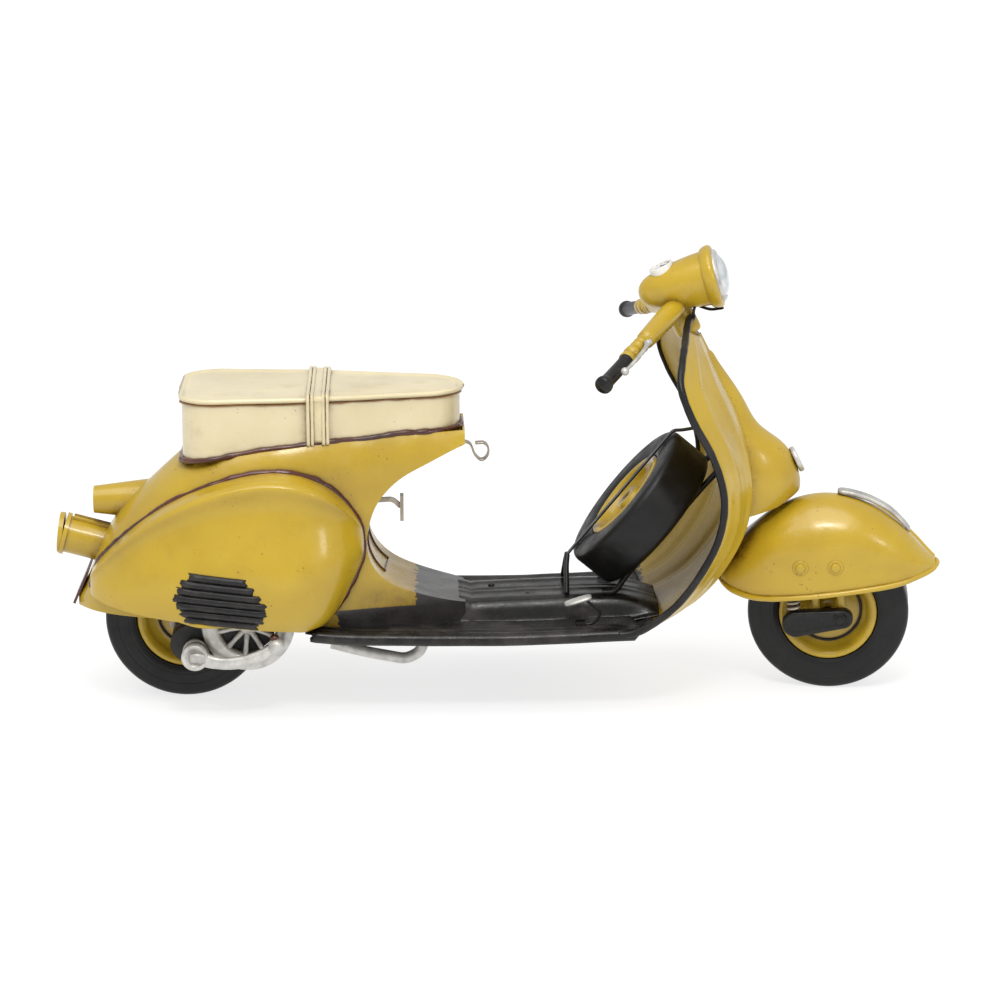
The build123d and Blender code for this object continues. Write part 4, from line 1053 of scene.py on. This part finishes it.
def fan():
    """Flywheel cover: a broad rounded ring, ten thin spokes and a hub over a dark disc."""
    place = facing(at(22.0, -31.0, 32.0), RIGHT)
    ring = lathe("ring", rounded([(-1.0, 10.0), (-1.0, 15.0), (1.6, 15.3), (3.0, 14.6), (3.6, 13.0),
                                  (3.2, 11.2), (2.2, 9.9), (0.6, 9.5)], 4), place, SILVER, 96)
    cap = [(0.4, 0.01), (0.4, 3.4), (1.8, 3.2), (2.4, 2.4), (2.6, 0.01)]
    hub = lathe("hub", cap, place, SILVER, 40, False)
    spokes = []
    for k in range(10):
        angle = radians(36 * k + 12)
        ends = [place @ spun(r, angle, 1.4) for r in (2.8, 6.4, 10.4)]
        spokes.append(rod("spoke", ends, [1.1, 0.8, 1.05], SILVER, sides=8))
    drum = lathe("drum", [(-2.6, 0.01), (-2.6, 4.3), (1.6, 4.5), (3.0, 4.4), (3.0, 0.01)],
                 facing(at(4.6, -30.4, 22.8), RIGHT), SILVER, 48, False)
    fit(join("flywheel_cover", ring, hub, drum, *spokes), "silver_paint", "fan_housing")


# ---------------- small trim

def horn_badge():
    place = facing(box_centre("horn_badge"), Vector((cos(RAKE), 0, sin(RAKE))))
    edge = rounded([(-0.7, 3.3), (-0.7, 4.3), (0.0, 4.6), (0.9, 4.4), (1.0, 3.7), (0.5, 3.3)], 4)
    rim = lathe("rim", edge, place, SILVER, 56)
    plate = [(-0.6, 3.4), (0.5, 3.4), (0.8, 2.4), (0.9, 1.0), (0.92, 0.01)]
    face = lathe("face", plate, place, YELLOW, 56, False)
    fit(join("horn_badge_disc", rim, face), "yellow_paint", "horn_badge")


def bag_hook():
    """Flat strip bent into an almost closed loop under the seat nose."""
    line = [(93.8, 86.9), (96.6, 86.0), (98.2, 82.4), (100.4, 80.4), (102.4, 81.8), (102.8, 84.4),
            (101.4, 86.2), (98.4, 86.2)]
    path = through([(x, 0, z) for x, z in line], 6)
    rows = [[at(p.x, y, p.z) for y in (-1.6, -0.8, 0, 0.8, 1.6)] for p in path]
    strip = sheet("bag_hook_strip", rows, STEEL, 0.6, 0.0)
    fit(strip, "bare_steel", "bag_hook")


def panel_lines():
    """Thin pressed outline of the hatch on the body's concave front."""
    front = skin("body_front_panel")
    corners = [(-11.0, 58.0), (-11.0, 44.5), (9.0, 43.5), (10.0, 58.0)]
    path = []
    for (y0, z0), (y1, z1) in zip(corners, corners[1:] + corners[:1]):
        for k in range(14):
            eye = at(140, y0 + (y1 - y0) * k / 14, z0 + (z1 - z0) * k / 14)
            hit = front.ray_cast(eye, Vector((-1, 0, 0)))[0]
            if hit:
                path.append(hit + Vector((0.25 * MM, 0, 0.1 * MM)))
    line = rod("hatch_line", path, 0.35, BROWN, sides=8, closed=True)
    fit(line, "brown_paint")


# ---------------- room, light and camera

def room():
    """A large pale floor under a white sky."""
    side = 9.0
    mesh = bpy.data.meshes.new("floor")
    corners = [(-side, -side, 0), (side, -side, 0), (side, side, 0), (-side, side, 0)]
    mesh.from_pydata(corners, [], [(0, 1, 2, 3)])
    f = Finish("white_floor")
    tone = f.mix(f.cloud(3.0), srgb(150, 150, 150), srgb(146, 146, 146))
    f.set(Emission_Color=(1.0, 1.0, 1.0, 1.0), Emission_Strength=0.74)     # the shadows stay light
    mesh.materials.append(f.finish(tone, 0.9))
    add("floor", mesh)
    world = bpy.data.worlds.new("studio")
    world.use_nodes = True
    sky = world.node_tree.nodes["Background"]
    sky.inputs["Color"].default_value = (1.0, 1.0, 1.0, 1.0)
    sky.inputs["Strength"].default_value = 0.66
    bpy.context.scene.world = world


def soft_box(name, place, target, width, height, power):
    light = bpy.data.lights.new(name, "AREA")
    light.shape, light.energy = "RECTANGLE", power
    light.size, light.size_y = width, height
    lamp = add(name, light)
    lamp.location = place
    lamp.rotation_euler = (target - place).to_track_quat("-Z", "Y").to_euler()


def soft_sun(name, direction, strength, spread):
    light = bpy.data.lights.new(name, "SUN")
    light.energy = strength
    light.angle = radians(spread)
    lamp = add(name, light)
    lamp.rotation_euler = (-Vector(direction)).to_track_quat("-Z", "Y").to_euler()


def lights():
    """An even overhead wash for the floor and a soft box close over the front of the model."""
    soft_sun("overhead", (-0.15, -0.35, 1.0), 1.45, 50.0)
    soft_box("key", Vector((0.02, -0.52, 0.66)), Vector((0, 0, 0.06)), 0.20, 0.10, 1.7)
    soft_box("side", Vector((0.55, -0.60, 0.40)), Vector((0.06, 0, 0.06)), 0.12, 0.12, 0.6)


def camera():
    """Eye level a little above the model, from its right side, nearly square on."""
    yaw, rise, distance = radians(1.987), radians(13.913), 1.0601
    view = Vector((sin(yaw) * cos(rise), cos(yaw) * cos(rise), -sin(rise)))
    target = Vector((0.00078, 0.0, 0.06612))
    data = bpy.data.cameras.new("camera")
    data.sensor_width = 36.0
    data.lens = 112.25
    data.clip_end = 20.0
    eye = add("camera", data)
    eye.location = target - distance * view
    eye.rotation_euler = view.to_track_quat("-Z", "Y").to_euler()
    bpy.context.scene.camera = eye
    bpy.context.scene.view_settings.view_transform = "Standard"


camera()
room()
lights()
dress_cad_nodes()
leg_shield()
cowl_beads()
louvres()
seat()
floor()
tunnel()
wheels()
mudguard_trim()
front_hardware()
headlight()
dial()
bars()
lever("right", "right_brake_lever")
lever("left", "left_brake_lever")
brake_pedal()
horn_throat()
kick_start()
fan()
horn_badge()
bag_hook()
panel_lines()
